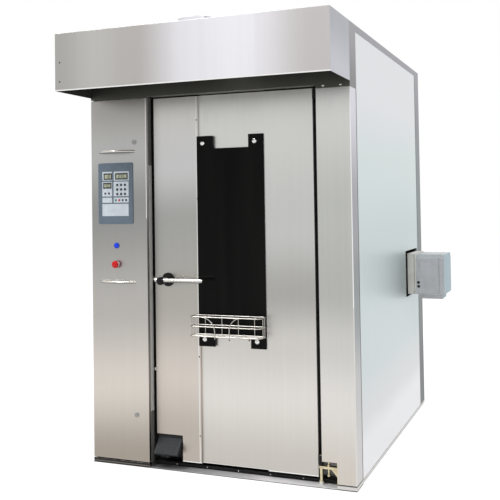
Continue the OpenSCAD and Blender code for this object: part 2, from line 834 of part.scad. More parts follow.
// Hinge knuckle with the lug that ties it to the edge of the door
module knuckle(z0, z1) {
    block([door_x1 - sheet, core_y + 0.5, z0], [door_x1 + 12, core_y + 16, z1]);
    block([door_x1 + 0.3, hinge_y, z0], [door_x1 + 12, core_y + cut, z1]);
    upright(hinge_x, hinge_y, z0, z1, 13);
}

// Hollow of the door between its ribs, open at the back to the inner panel
module door_hollow() {
    low = door_z0 + 5;
    pitch = (door_z1 - 5 - low + 3) / 3;
    difference() {
        for (i = [0 : 2])
            block([door_x0 + sheet + 3, core_y + 3, low + i * pitch],
                [door_x1 - sheet - 3, inner_y + cut, low + (i + 1) * pitch - 3]);
        block([door_mid - window_w / 2 - 3, 0, window_z0 - 3],
            [door_mid + window_w / 2 + 3, far, window_z1 + 3]);
        block([door_x0, 0, 407], [door_x0 + 133, far, lever_z + 48]);
        block([door_x0, 0, 0], [door_x0 + 159, far, pedal_cut_z + 7]);
        for (x = bolt_x, z = [glass_z0 + bolt_inset, glass_z1 - bolt_inset])
            along_y(x, z, 0, core_y + 13, 9);
    }
}

module door_frame() {
    pocket = [door_x0 + sheet - cut, 78, 410];
    from_corner() color(dark) {
        difference() {
            union() {
                block([door_x0 + sheet, core_y, door_z0 + 2], [door_x1 - sheet, inner_y, door_z1 - 2]);
                knuckle(100, 150);
                knuckle(soffit_z - 63, soffit_z - 15);
            }
            block([door_mid - window_w / 2, 0, window_z0], [door_mid + window_w / 2, far, window_z1]);
            door_hollow();
            for (z = [0, far / 2])
                upright(hinge_x, hinge_y, z, z + far / 2, hinge_pin_r + running);
            // room for the latch and for the foot pedal
            block(pocket, [door_x0 + 130, inner_y - 2, lever_z + 45]);
            block([door_x0, core_y - cut, 0], [door_x0 + 156, inner_y - 6, pedal_cut_z + 4]);
            along_y(lever_x, lever_z, core_y - cut, 79, spindle_r + 0.5);
            for (x = bolt_x, z = [glass_z0 + bolt_inset, glass_z1 - bolt_inset])
                along_y(x, z, 0, core_y + 10, 5);
        }
        along_y(lever_x, lower_latch_z, 77, hook_y + hook_t, pivot_pin_r);
    }
}

module door_inner_panel() {
    from_corner() color(steel) difference() {
        block([door_x0, inner_y, door_z0], [door_x1 - sheet, door_back, door_z1]);
        block([door_mid - window_w / 2, 0, window_z0], [door_mid + window_w / 2, far, window_z1]);
        // shallow pressed field that stiffens the sheet, raised on the side of the wool
        difference() {
            union() {
                block([door_x0 + 60, door_back - 2, 110], [door_x1 - 60, door_back + cut, 1940]);
                block([door_x0 + 64, inner_y - cut, 114], [door_x1 - 64, inner_y + 3, 1936]);
            }
            block([door_mid - 150, 0, window_z0 - 55], [door_mid + 150, far, window_z1 + 55]);
        }
    }
}

module door_gasket() {
    inset = 8;
    width = 18;
    low = [door_x0 + inset, door_back, door_z0 + inset];
    high = [door_x1 - sheet - inset, door_back + 6, door_z1 - inset];
    from_corner() color(black) difference() {
        block(low, high);
        block(low + [width, -cut, width], high + [-width, cut, -width]);
        block(low + [width / 2 - 2, 4, width / 2 - 2], high + [2 - width / 2, cut, 2 - width / 2]);
    }
    from_corner() color(black) difference() {
        block(low + [width / 2 + 2, 3.5, width / 2 + 2], high - [width / 2 + 2, 0, width / 2 + 2]);
        block(low + [width, 0, width], high + [-width, cut, -width]);
    }
}

// The glass keeps a tab in each corner, with a notch between the tabs above and below
module outer_glass() {
    x0 = glass_x0 + glass_tab_w;
    x1 = glass_x1 - glass_tab_w + 9;
    from_corner() color(black) difference() {
        run_y(glass_y, door_recess) round_rect([glass_x0, glass_z0], [glass_x1, glass_z1], 4);
        block([x0, 0, 0], [x1, far, glass_z0 + glass_notch]);
        block([x0, 0, glass_z1 - glass_notch], [x1, far, far]);
        for (x = bolt_x, z = [glass_z0 + bolt_inset, glass_z1 - bolt_inset])
            along_y(x, z, 0, 200, 6);
    }
}

module inner_glass() {
    half = window_w / 2 - 0.5;
    from_corner() color([0.25, 0.27, 0.28])
        block([door_mid - half, inner_y + 1, window_z0 + 0.5],
            [door_mid + half, inner_y + 6, window_z1 - 0.5]);
}

// Domed bolts that hold the glass off the middle panel on short spacers
module glass_bolts() {
    head_r = 12.5;
    head_y = glass_y - 5;
    from_corner() color(chrome)
        for (x = bolt_x, z = [glass_z0 + bolt_inset, glass_z1 - bolt_inset])
            translate([x, 0, z]) {
                along_y(0, 0, head_y - cut, centre_y + 6, 5);
                along_y(0, 0, door_recess, centre_y, 10);
                translate([0, head_y, 0]) rotate([90, 0, 0]) rotate_extrude() intersection() {
                    translate([0, -14.5]) circle(r = 19.2);
                    translate([0, 0]) square([head_r, 8]);
                }
                if (z > 1000)
                    along_y(0, 0, head_y, glass_y, 10.5);
            }
}

// One closed rail of the basket, a round bar bent to a rectangle with round corners
module basket_rail(z, r) {
    front = 28;         // bend radius of the two front corners
    back = 14;          // and of the two against the glass
    x0 = basket_x0 + r;
    x1 = x0 + basket_w - 2 * r;
    y1 = glass_y - 3 - r;
    y0 = y1 - basket_d + 2 * r;
    along_x(y0, z, x0 + front, x1 - front, r);
    along_x(y1, z, x0 + back, x1 - back, r);
    for (x = [x0, x1])
        along_y(x, z, y0 + front, y1 - back, r);
    for (c = [[x0 + front, y0 + front, 180, front], [x1 - front, y0 + front, 270, front],
            [x1 - back, y1 - back, 0, back], [x0 + back, y1 - back, 90, back]])
        translate([c[0], c[1], z]) rotate([0, 0, c[2]])
            rotate_extrude(angle = 90) translate([c[3], 0]) circle(r = r, $fn = 24);
}

// A wire that runs down the back and under the basket to the lowest front rail
module basket_wire(x, z0, z1, r) {
    bend = 12;
    y1 = glass_y - 6;
    upright(x, y1, z0 + bend, z1, r);
    along_y(x, z0, glass_y - basket_d - 1, y1 - bend, r);
    translate([x, y1 - bend, z0 + bend]) rotate([90, 0, 90]) rotate([0, 0, 270])
        rotate_extrude(angle = 90) translate([bend, 0]) circle(r = r, $fn = 24);
}

// A bent wire in the basket's front: level at the top rail, then straight down
module basket_arc(x, side, bend, z0, z1) {
    y = glass_y - basket_d - 2;
    translate([x, y, z1 - bend]) rotate([90, 0, 0]) rotate([0, 0, side > 0 ? 0 : 90])
        rotate_extrude(angle = 90) translate([bend, 0]) circle(r = 2.5, $fn = 24);
    upright(x + side * bend, y, z0, z1 - bend, 2.5);
}

module wire_basket() {
    rail_r = 3;
    wire_r = 2.2;
    z0 = glass_z0 + 62;
    z1 = z0 + basket_h + 5;
    x0 = basket_x0;
    from_corner() color(chrome) {
        for (z = [z0 + 4, z0 + 54, z1 - 3])
            basket_rail(z, rail_r);
        for (x = [62, 158, 252, 344])
            basket_wire(x0 + x, z0, z1 - 3, wire_r);
        // end wires and the two long wires of the bottom
        for (x = [x0 + rail_r, x0 + basket_w - rail_r], y = [glass_y - 52, glass_y - 26])
            upright(x, y, z0 + 4, z1 - 3, wire_r);
        for (y = [glass_y - 52, glass_y - 26])
            along_x(y, z0 + 2, x0 + 2, x0 + basket_w - 2, wire_r);
        basket_arc(x0 + 71, 1, 80, z0 - 8, z1 - 3);
        basket_arc(x0 + 299, -1, 66, z0 - 8, z1 - 3);
        // hangers with an eye behind each lower bolt's head
        for (x = bolt_x) difference() {
            union() {
                upright(x, glass_y - 2.6, glass_z0 + bolt_inset + 7, z0 + 9, 2.4);
                along_y(x, glass_z0 + bolt_inset, glass_y - 5, glass_y, 10);
            }
            along_y(x, glass_z0 + bolt_inset, glass_y - 10, glass_y + cut, 5.3);
        }
    }
}

module handle_rose() {
    from_corner() color(black) translate([lever_x, door_recess, lever_z]) rotate([90, 0, 0])
        rotate_extrude() polygon([[spindle_r + running, 0], [37, 0], [37, 5], [34, 8], [24, 9.5],
            [22, 12], [spindle_r + running, 12]]);
}

module handle_hub() {
    hub_y = -38;
    from_corner() color(black) difference() {
        translate([lever_x, hub_y + 22, lever_z]) rotate([90, 0, 0]) rotate_extrude()
            polygon([[0, 0], [18, 0], [21, 5], [22, 14], [22, 28], [20, 36], [15, 42], [8, 45], [0, 46]]);
        along_x(hub_y, lever_z + 3, lever_x - 60, lever_x + 60, 11);
    }
}

module handle_lever() {
    hub_y = -38;
    x0 = lever_x - 36;
    x1 = lever_x + lever_reach;
    from_corner() color(chrome) translate([0, hub_y, lever_z + 3]) {
        translate([x0, 0, 0]) rotate([0, 90, 0]) rotate_extrude()
            polygon([[0, 0], [7, 0], [11, 4], [11, x1 - x0 - 11], [10, x1 - x0 - 5],
                [7, x1 - x0 - 1.5], [0, x1 - x0]]);
    }
}

// A hook with its crank, cut from one plate: the hook hangs down, the crank points sideways
module latch_plate(z) {
    translate([lever_x, hook_y + hook_t, z]) rotate([90, 0, 0]) linear_extrude(hook_t) {
        circle(r = 18);
        circle(r = 10);
        translate([-9, -hook_reach]) square([18, hook_reach]);
        translate([-9, -hook_reach]) square([24, 16]);
        translate([0, -8]) square([crank, 16]);
        translate([crank, 0]) circle(r = 10);
    }
    along_y(lever_x + crank, z, hook_y + hook_t - cut, hook_y + hook_t + 11, crank_pin_r);
}

module latch_spindle() {
    from_corner() color(chrome) {
        along_y(lever_x, lever_z, -16, hook_y + cut, spindle_r);
        latch_plate(lever_z);
    }
}

module lower_latch_hook() {
    from_corner() color(chrome) difference() {
        latch_plate(lower_latch_z);
        along_y(lever_x, lower_latch_z, hook_y - cut, hook_y + hook_t + cut, pivot_pin_r + running);
    }
}

// The bar that carries the lever's turn down to the lower hook
module latch_link_rod() {
    y0 = hook_y + hook_t + 1;
    eye_r = 11;
    x = lever_x + crank;
    from_corner() color(dull_steel) difference() {
        union() {
            for (z = [lever_z, lower_latch_z])
                along_y(x, z, y0, y0 + 8, eye_r);
            block([x - 7, y0, lower_latch_z], [x + 7, y0 + 8, lever_z]);
        }
        along_y(x, lever_z, y0 - cut, y0 + 9, crank_pin_r + running);
        along_y(x, lower_latch_z, y0 - cut, y0 + 9, crank_pin_r + 0.4);
    }
}

// Cheeks, back plate and pin that carry the foot pedal
module pedal_bracket() {
    back = inner_y - 6;
    from_corner() color(dark) {
        for (x = [pedal_x0, pedal_x1 - 4])
            run_x(x, x + 4)
                polygon([[back, 150], [back, pedal_cut_z], [pedal_y - 12, pedal_cut_z],
                    [pedal_y - 12, 158], [pedal_y - 4, 150]]);
        block([pedal_x0, back - 3, 60], [pedal_x1, back, pedal_cut_z]);
        along_x(pedal_y, pedal_z, pedal_x0 + cut, pedal_x1 - cut, pedal_pin_r);
    }
}

// A ribbed tread plate that slopes out and down from its pivot barrel
module foot_pedal() {
    x0 = pedal_x0 + 5;
    x1 = pedal_x1 - 5;
    left = x0 + 1.5;
    right = x1 - 1.5;
    tip = [-5, 84];
    slope = atan2(pedal_z - tip[1], pedal_y - tip[0]);
    long = norm([pedal_y - tip[0], pedal_z - tip[1]]);
    ribs = 8;
    from_corner() color([0.28, 0.30, 0.33]) difference() {
        union() {
            along_x(pedal_y, pedal_z, x0, x1, 9);
            translate([0, pedal_y, pedal_z]) rotate([slope, 0, 0]) {
                block([left, -long, -3], [right, 0, 3]);
                for (i = [0 : ribs - 1])
                    block([left + 7, -long + 8 + 10.5 * i, 2], [right - 7, -long + 12 + 10.5 * i, 4.5]);
                // side flanges and a turned-down front edge
                for (x = [left, right - 4])
                    run_x(x, x + 4)
                        polygon([[-long, 0], [-long, -14], [-22, -30], [-7, -14], [-7, 0]]);
                block([left, -long, -14], [right, 4 - long, 0]);
            }
        }
        along_x(pedal_y, pedal_z, x0 - cut, x1 + cut, pedal_pin_r + running);
    }
}

// ---------- service door of the column, its controls and locks ----------

module service_door_panel() {
    z0 = plinth_h + 6;
    z1 = soffit_z - 6;
    deep = 20;
    x1 = column_w - 1;
    from_corner() color(steel) difference() {
        union() {
            cassette([1, 0, z0], [x1, deep, z1]);
            for (z = [z0, z1 - 40])
                block([1, 1, z], [19, 19, z + 40]);
        }
        upright(service_x, service_y, 0, 100, service_pin_r + running);
        upright(service_x, service_y, z1 - 60, far, service_pin_r + running);
        block([plate_x[0] + 14, -cut, plate_z[0] + 14], [plate_x[1] - 14, deep, plate_z[1] - 14]);
        for (z = lock_z)
            along_y(lock_x, z, -cut, deep, lock_r + 0.4);
        for (z = [start_z, stop_z])
            along_y(button_x, z, -cut, deep, button_r + 2);
    }
}

// Two round bars bowed outwards, cut off flush with the panel
module bow_handles() {
    half = (bow_x[1] - bow_x[0]) / 2;
    bend = (half * half + bow_rise * bow_rise) / (2 * bow_rise);
    from_corner() color(chrome) intersection() {
        union() for (z = bow_z)
            translate([(bow_x[0] + bow_x[1]) / 2, bend - bow_rise, z])
                rotate([0, 0, 225]) rotate_extrude(angle = 90) translate([bend, 0]) circle(r = bow_r, $fn = 32);
        block([0, -100, 900], [column_w, 0, 1800]);
    }
}

// Fields of the control panel: lowest and highest corner in X and Z
fields = [[[72, 1562], [135, 1611]], [[145, 1560], [242, 1611]], [[71, 1473], [134, 1555]],
    [[143, 1473], [239, 1555]], [[71, 1438], [134, 1467]], [[143, 1438], [239, 1467]],
    [[70, 1364], [238, 1432]]];
// Display windows, given the same way
windows = [[[83, 1569], [132, 1598]], [[157, 1569], [231, 1598]], [[80, 1520], [127, 1546]]];

module control_panel_plate() {
    from_corner() color([0.43, 0.49, 0.55]) difference() {
        run_y(-4, 0) round_rect([plate_x[0], plate_z[0]], [plate_x[1], plate_z[1]], 10);
        for (f = fields)
            block([f[0][0], -4 - cut, f[0][1]], [f[1][0], -3, f[1][1]]);
    }
}

module panel_insets() {
    from_corner() color([0.85, 0.86, 0.84]) difference() {
        for (f = fields)
            block([f[0][0] + 0.3, -3.8, f[0][1] + 0.3], [f[1][0] - 0.3, -3, f[1][1] - 0.3]);
        for (w = windows)
            block([w[0][0], -10, w[0][1]], [w[1][0], -3.4, w[1][1]]);
    }
}

module panel_displays() {
    from_corner() color([0.45, 0.50, 0.40])
        for (w = windows)
            block([w[0][0] + 0.3, -4.4, w[0][1] + 0.3], [w[1][0] - 0.3, -3.4, w[1][1] - 0.3]);
}

// A round key with a bevelled rim
module key(x, z, r) {
    translate([x, -3.8, z]) rotate([90, 0, 0]) rotate_extrude()
        polygon([[0, 0], [r, 0], [r, 1.2], [r - 1, 2.2], [0, 2.2]]);
}

module keypad_keys() {
    from_corner() color([0.25, 0.26, 0.28]) {
        for (x = [167, 191.5, 216], z = [1486, 1511, 1536])
            key(x, z, 7);
        for (x = [90, 114])
            key(x, 1490, 6);
        for (x = [157, 179, 201, 223])
            key(x, 1452, 6);
    }
}

// Collar in front, sleeve through the sheet and switch body behind it
module button_bezels() {
    from_corner() color(chrome) difference() {
        for (z = [start_z, stop_z]) {
            along_y(button_x, z, -4, 0, bezel_r);
            along_y(button_x, z, -cut, 22, button_r + 2);
            block([button_x - 18, 21, z - 20], [button_x + 18, 58, z + 20]);
        }
        for (z = [start_z, stop_z]) {
            along_y(button_x, z, -10, 40, button_r + 0.3);
        }
    }
}

module start_button() {
    from_corner() color([0.05, 0.25, 0.80]) translate([button_x, 30, start_z]) rotate([90, 0, 0])
        rotate_extrude() polygon([[0, 0], [button_r, 0], [button_r, 35], [11, 36.5], [8, 37.4], [0, 37.8]]);
}

module stop_button() {
    from_corner() color([0.80, 0.05, 0.05]) translate([button_x, 30, stop_z]) rotate([90, 0, 0])
        rotate_extrude() polygon([[0, 0], [button_r, 0], [button_r, 44], [18, 45], [20.5, 48],
            [20.5, 51], [17, 56], [9, 59], [0, 60]]);
}

// A quarter-turn lock: slotted barrel in front, cam tongue behind the panel
module cam_lock(z) {
    tongue = 55;
    from_corner() color(chrome) difference() {
        union() {
            along_y(lock_x, z, -3, 32, lock_r);
            along_y(lock_x, z, -3, 0, lock_r + 4);
            block([lock_x - 9, 28, z - tongue], [lock_x + 9, 31, z]);
        }
        block([lock_x - 7, -3 - cut, z - 1.3], [lock_x + 7, -1, z + 1.3]);
    }
}

module upper_cam_lock() {
    cam_lock(lock_z[1]);
}

module lower_cam_lock() {
    cam_lock(lock_z[0]);
}

module chamber_lamp() {
    y = chamber_y0 + 70;
    x = chamber_x1 - sheet;
    from_corner() color([0.9, 0.88, 0.8]) {
        block([x - 8, y - 40, 1150], [x, y + 40, 1650]);
        intersection() {
            upright(x - 4, y, 1170, 1630, 24);
            block([x - 40, y - 50, 0], [x - 7, y + 50, far]);
        }
    }
}

base_pan();
front_sill();
left_side_panel();
right_side_panel();
rear_panel();
corner_trims();
roof_panel();
upper_front_panel();
canopy_hood();
control_cabinet();
contactor_panel();
front_right_panel();
front_frame();
chamber_left_wall();
chamber_right_wall();
chamber_rear_wall();
chamber_ceiling();
chamber_floor();
insulation();
heat_exchanger();
steam_generator();
steam_outlet_pipe();
roof_motors();
burner_flange();
burner_body();
hinge_brackets();
strike_rollers();
chamber_lamp();
left_door_panel();
centre_door_panel();
right_door_panel();
door_frame();
door_inner_panel();
door_gasket();
outer_glass();
inner_glass();
glass_bolts();
wire_basket();
handle_rose();
pedal_bracket();
handle_hub();
handle_lever();
latch_spindle();
lower_latch_hook();
latch_link_rod();
foot_pedal();
service_door_panel();
bow_handles();
control_panel_plate();
panel_insets();
panel_displays();
keypad_keys();
button_bezels();
upper_cam_lock();
lower_cam_lock();
start_button();
stop_button();
rack_hanger();
fan_wheel();
damper_flap();
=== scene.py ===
# %% [markdown]
# # A rotating rack oven in brushed stainless steel
# The imported model gives every panel, pipe and pin at its real size. This lesson dresses it: each
# sheet gets its brushing and its tones, which are painted reflections of the room with some painted
# shade and painted highlights, each moulded part its grain, and the small things that a fitter would
# notice, such as screws, plugs and digits, are added as meshes of their own.

import math

import bmesh
import bpy
from mathutils import Matrix, Vector


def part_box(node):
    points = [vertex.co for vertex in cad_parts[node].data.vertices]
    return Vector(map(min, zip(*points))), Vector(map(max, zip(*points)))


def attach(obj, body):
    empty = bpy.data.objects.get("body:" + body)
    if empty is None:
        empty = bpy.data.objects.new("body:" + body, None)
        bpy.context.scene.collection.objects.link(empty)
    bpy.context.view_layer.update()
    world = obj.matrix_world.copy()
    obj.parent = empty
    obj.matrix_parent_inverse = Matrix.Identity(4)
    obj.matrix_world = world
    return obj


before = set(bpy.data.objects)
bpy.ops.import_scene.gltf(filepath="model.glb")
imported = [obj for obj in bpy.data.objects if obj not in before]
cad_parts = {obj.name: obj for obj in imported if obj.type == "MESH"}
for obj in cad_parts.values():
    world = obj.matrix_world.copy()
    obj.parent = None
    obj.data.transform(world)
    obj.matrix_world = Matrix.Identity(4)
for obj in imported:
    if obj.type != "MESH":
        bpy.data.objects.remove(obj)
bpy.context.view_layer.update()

# %% [markdown]
# Places on the oven are easiest to read as a fitter measures them: millimetres from the left side,
# back from the front plane, and up from the floor. The base pan's left front corner is zero.

# %% Measure from the left front corner
MM = 0.001
LEFT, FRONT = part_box("base_pan")[0][:2]


def at(x, y, z):
    """A point in metres, from millimetres right, back and up from the left front corner."""
    return Vector((LEFT + x * MM, FRONT + y * MM, z * MM))


def width_of(node):
    """The left and right edge of a node, in millimetres from the left side."""
    low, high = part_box(node)
    return (low.x - LEFT) / MM, (high.x - LEFT) / MM


print("the column is", width_of("service_door_panel"), "and the door", width_of("door_frame"))

# %% [markdown]
# ## The camera
# The photograph's own camera was found by fitting eleven corners of the body and the canopy. It
# stands in front and to the right, at chest height, and looks almost level. The sensor's shift
# stands in for the way the picture was cropped.

# %% Place the camera
scene = bpy.context.scene
CAMERA_PLACE = at(2539.3, -3961.0, 1426.3)
TURN_LEFT = math.radians(21.505)
LOOK_UP = math.radians(1.6164)
LEAN = math.radians(-0.8598)
FOCAL_LENGTH = 59.14  # millimetres, on a sensor 36 wide
SHIFT = (-0.00726, -0.1408)  # in widths of the picture
FARTHEST = 60  # metres, beyond the floor's far corner


def camera_axes(turn, climb, lean):
    """The camera's right, up and backward directions as the columns of a matrix."""
    level = math.cos(climb)
    forward = Vector((-math.sin(turn) * level, math.cos(turn) * level, math.sin(climb)))
    right = Vector((math.cos(turn), math.sin(turn), 0))
    up = right.cross(forward)
    leaned_right = math.cos(lean) * right + math.sin(lean) * up
    leaned_up = math.cos(lean) * up - math.sin(lean) * right
    return Matrix((leaned_right, leaned_up, -forward)).transposed()


def placed(name, data):
    """A new object in the scene, made of that mesh, light or camera."""
    made = bpy.data.objects.new(name, data)
    scene.collection.objects.link(made)
    return made


camera = placed("camera", bpy.data.cameras.new("camera"))
camera.data.lens = FOCAL_LENGTH
camera.data.shift_x, camera.data.shift_y = SHIFT
camera.data.clip_end = FARTHEST
camera.matrix_world = Matrix.Translation(CAMERA_PLACE) @ camera_axes(TURN_LEFT, LOOK_UP, LEAN).to_4x4()
scene.camera = camera
print("camera at", [round(v, 3) for v in CAMERA_PLACE])

# %% [markdown]
# ## The studio
# Three large soft lamps and a pale room light the steel evenly, as in a catalogue picture. A shader
# is a tree of nodes, so the first helpers add a node, feed its sockets and do sums with them. The
# last one tells rays that show the surroundings from rays that only gather light.

# %% Helpers for shader nodes
def node_in(tree, kind, **settings):
    """Adds a shader node of that kind and sets its properties."""
    node = tree.nodes.new("ShaderNode" + kind)
    for name, value in settings.items():
        setattr(node, name, value)
    return node


def feed(tree, socket, value):
    """Links value to the socket if it is an output, and otherwise sets it as the socket's value."""
    if isinstance(value, bpy.types.NodeSocket):
        tree.links.new(value, socket)
    else:
        socket.default_value = value


def calc(tree, operation, *values):
    """A Math node with those values or outputs, and its result."""
    node = node_in(tree, "Math", operation=operation)
    for socket, value in zip(node.inputs, values):
        feed(tree, socket, value)
    return node.outputs[0]


def seen_rays(tree):
    """1 for the rays that show the surroundings: camera, mirror and glass rays."""
    path = node_in(tree, "LightPath")
    mirrored = calc(tree, "MAXIMUM", path.outputs["Is Glossy Ray"], path.outputs["Is Transmission Ray"])
    return calc(tree, "MAXIMUM", path.outputs["Is Camera Ray"], mirrored)


print("node helpers ready")

# %% [markdown]
# The room is white to the camera and in reflections, and dimmer as a source of light, so that the
# creases between panels keep their shade.

# %% Make the room
ROOM_LIGHT = 0.62  # strength of the room as a source of light
ROOM_TINT = (0.96, 0.98, 1, 1)


def make_room():
    """The world: white where it is seen, and a softer source of light."""
    world = bpy.data.worlds.new("room")
    world.use_nodes = True
    tree = world.node_tree
    tree.nodes.clear()
    seen = node_in(tree, "Background")
    seen.inputs["Color"].default_value = (1, 1, 1, 1)
    light = node_in(tree, "Background")
    light.inputs["Color"].default_value = ROOM_TINT
    light.inputs["Strength"].default_value = ROOM_LIGHT
    mix = node_in(tree, "MixShader")
    feed(tree, mix.inputs[0], seen_rays(tree))
    feed(tree, mix.inputs[1], light.outputs[0])
    feed(tree, mix.inputs[2], seen.outputs[0])
    output = node_in(tree, "OutputWorld")
    feed(tree, output.inputs["Surface"], mix.outputs[0])
    scene.world = world


make_room()
print("world", scene.world.name)

# %% [markdown]
# The floor is pale and keeps only a faint shadow. Most of it shows as plain white, and the rest is a
# matt surface that takes the shadow.

# %% Make the floor
FLOOR_WHITE = 0.80  # share of the floor that shows as plain white
FLOOR_LIFT = 1.12  # strength of that white, so that the open floor meets the room's white
FLOOR_REACH = 30  # metres from the middle to each edge
FLOOR_GREY = (0.9, 0.9, 0.9, 1)


def make_floor():
    """A plain pale floor: mostly white where it is seen, the rest a matt surface with the shadow."""
    mesh = bpy.data.meshes.new("floor")
    corners = [(x * FLOOR_REACH, y * FLOOR_REACH, 0) for x, y in ((-1, -1), (1, -1), (1, 1), (-1, 1))]
    mesh.from_pydata(corners, [], [(0, 1, 2, 3)])
    floor = placed("floor", mesh)
    material = bpy.data.materials.new("floor")
    material.use_nodes = True
    tree = material.node_tree
    tree.nodes.clear()
    matt = node_in(tree, "BsdfDiffuse")
    matt.inputs["Color"].default_value = FLOOR_GREY
    white = node_in(tree, "Emission")
    white.inputs["Strength"].default_value = FLOOR_LIFT
    mix = node_in(tree, "MixShader")
    feed(tree, mix.inputs[0], calc(tree, "MULTIPLY", seen_rays(tree), FLOOR_WHITE))
    feed(tree, mix.inputs[1], matt.outputs[0])
    feed(tree, mix.inputs[2], white.outputs[0])
    feed(tree, node_in(tree, "OutputMaterial").inputs["Surface"], mix.outputs[0])
    mesh.materials.append(material)


make_floor()
print("floor", 2 * FLOOR_REACH, "metres wide")

# %% [markdown]
# The key lamp hangs high, because a lamp that an upright sheet mirrors would burn its finish out to
# white. The other two soften the shadows and light the back. The Standard view shows each tone as
# it was written.

# %% Hang the lamps
# each lamp is a name, a place in metres, the width of its square in metres, and its power in watts
LAMPS = [("key", (-2.8, -3.6, 7.4), 3.0, 480.0), ("fill", (5.2, -2.2, 6.4), 3.0, 220.0),
         ("back", (0.2, 5.0, 7.4), 3.2, 300.0)]
LAMP_AIM = Vector((0.1, 0.0, 1.2))


def make_lamp(name, place, size, power):
    """A square soft lamp that points at the middle of the oven."""
    light = bpy.data.lights.new(name, "AREA")
    light.size = size
    light.energy = power
    lamp = placed(name, light)
    lamp.location = place
    lamp.rotation_euler = (LAMP_AIM - Vector(place)).to_track_quat("-Z", "Y").to_euler()


for name, place, size, power in LAMPS:
    make_lamp(name, place, size, power)
scene.view_settings.view_transform = "Standard"
print(len(LAMPS), "lamps, the brightest of", max(power for *_, power in LAMPS), "watts")

# %% [markdown]
# ## Effects that several finishes share
# Each effect is a node group with named inputs, built once. The helpers here make an empty group,
# and the steps that most groups need: the place on the surface, stretching, noise, moving a value
# from one span to another, and blending two colours.

# %% Helpers for groups
def new_group(name, inputs, outputs):
    """An empty group with its named sockets, and its two end nodes."""
    tree = bpy.data.node_groups.new(name, "ShaderNodeTree")
    for label, kind, value in inputs:
        socket = tree.interface.new_socket(label, in_out="INPUT", socket_type="NodeSocket" + kind)
        socket.default_value = value
    for label, kind in outputs:
        tree.interface.new_socket(label, in_out="OUTPUT", socket_type="NodeSocket" + kind)
    return tree, tree.nodes.new("NodeGroupInput").outputs, tree.nodes.new("NodeGroupOutput").inputs


def own_place(tree):
    """The point on the surface in the frame's metres, which stays with the part as it moves."""
    return node_in(tree, "TexCoord").outputs["Object"]


def scaled(tree, vector, factor):
    """vector times factor, axis by axis."""
    node = node_in(tree, "VectorMath", operation="MULTIPLY")
    feed(tree, node.inputs[0], vector)
    feed(tree, node.inputs[1], factor)
    return node.outputs[0]


def dot(tree, first, second):
    """How far two directions agree, or how far a point lies along a direction."""
    node = node_in(tree, "VectorMath", operation="DOT_PRODUCT")
    feed(tree, node.inputs[0], first)
    feed(tree, node.inputs[1], second)
    return node.outputs["Value"]


def noise(tree, vector, scale=1.0, detail=2, rough=0.55):
    """A noise value from 0 to 1 over the surface."""
    node = node_in(tree, "TexNoise")
    feed(tree, node.inputs["Vector"], vector)
    feed(tree, node.inputs["Scale"], scale)
    node.inputs["Detail"].default_value = detail
    node.inputs["Roughness"].default_value = rough
    return node.outputs["Fac"]


def ramp(tree, value, low, high, to_low=0.0, to_high=1.0, smooth=False):
    """value moved from the span low to high onto the span to_low to to_high, and held there."""
    node = node_in(tree, "MapRange", clamp=True)
    if smooth:
        node.interpolation_type = "SMOOTHSTEP"
    for socket, number in zip(node.inputs, (value, low, high, to_low, to_high)):
        feed(tree, socket, number)
    return node.outputs[0]


def blend_tones(tree, amount, first, second):
    """A colour between two."""
    node = node_in(tree, "MixRGB")
    feed(tree, node.inputs[0], amount)
    feed(tree, node.inputs[1], first)
    feed(tree, node.inputs[2], second)
    return node.outputs[0]


print("group helpers ready")

# %% [markdown]
# The first group is brushing: noise drawn out along the direction of the belt, which gives a streak
# value for colour and gloss and a height for the bump. Stretching the coordinates is cheaper than a
# long image, and it never repeats.

# %% The brushing group
NOISE_LOW, NOISE_MIDDLE, NOISE_HIGH = 0.3, 0.5, 0.7  # nearly all of a noise lies between these
FINE_SHARE = 0.45  # share of the fine streaks, and the rest is coarse


def make_brushing():
    """Fine streaks with a few coarser ones among them, as a belt leaves on sheet steel."""
    tree, given, result = new_group("brushing", [("Fine", "Vector", (700, 700, 5)),
                                                 ("Coarse", "Vector", (60, 60, 1.2))],
                                    [("Streak", "Float"), ("Height", "Float")])
    fine = noise(tree, scaled(tree, own_place(tree), given["Fine"]))
    coarse = noise(tree, scaled(tree, own_place(tree), given["Coarse"]), detail=4)
    both = calc(tree, "ADD", calc(tree, "MULTIPLY", fine, FINE_SHARE),
                calc(tree, "MULTIPLY", coarse, 1 - FINE_SHARE))
    feed(tree, result["Streak"], ramp(tree, both, NOISE_LOW, NOISE_HIGH))
    feed(tree, result["Height"], fine)
    return tree


BRUSHING = make_brushing()
print("group", BRUSHING.name)

# %% [markdown]
# A tall steel sheet mirrors the room, so its tones are painted reflections: a cooler light top, a
# darker band at chest height and a warmer foot, and on the column a painted shade under the canopy.
# A sheet that bows has its painted bands side by side instead. The next group runs through six tones
# along any direction, and lets slow noise push them to and fro, so that no band has a hard edge.

# %% The group for tones along a direction
TONES = 6
WANDER = (1.6, 1.6, 0.5)  # waves in a metre of the slow noise, along each axis


def make_tone_run():
    """Six tones along a direction, with the distances in metres at which each is pure."""
    inputs = [("Direction", "Vector", (0, 0, 1)), ("Drift", "Float", 0.2)]
    for number in range(1, TONES + 1):
        inputs += [(f"Tone {number}", "Color", (1, 1, 1, 1)), (f"Stop {number}", "Float", float(number))]
    tree, given, result = new_group("tone run", inputs, [("Color", "Color")])
    place = own_place(tree)
    wander = calc(tree, "SUBTRACT", noise(tree, scaled(tree, place, WANDER), detail=1), NOISE_MIDDLE)
    drifted = calc(tree, "MULTIPLY", wander, given["Drift"])
    level = calc(tree, "ADD", dot(tree, place, given["Direction"]), drifted)
    shade = given["Tone 1"]
    for number in range(2, TONES + 1):
        share = ramp(tree, level, given[f"Stop {number - 1}"], given[f"Stop {number}"], smooth=True)
        shade = blend_tones(tree, share, shade, given[f"Tone {number}"])
    feed(tree, result["Color"], shade)
    return tree


TONE_RUN = make_tone_run()
print("group", TONE_RUN.name)
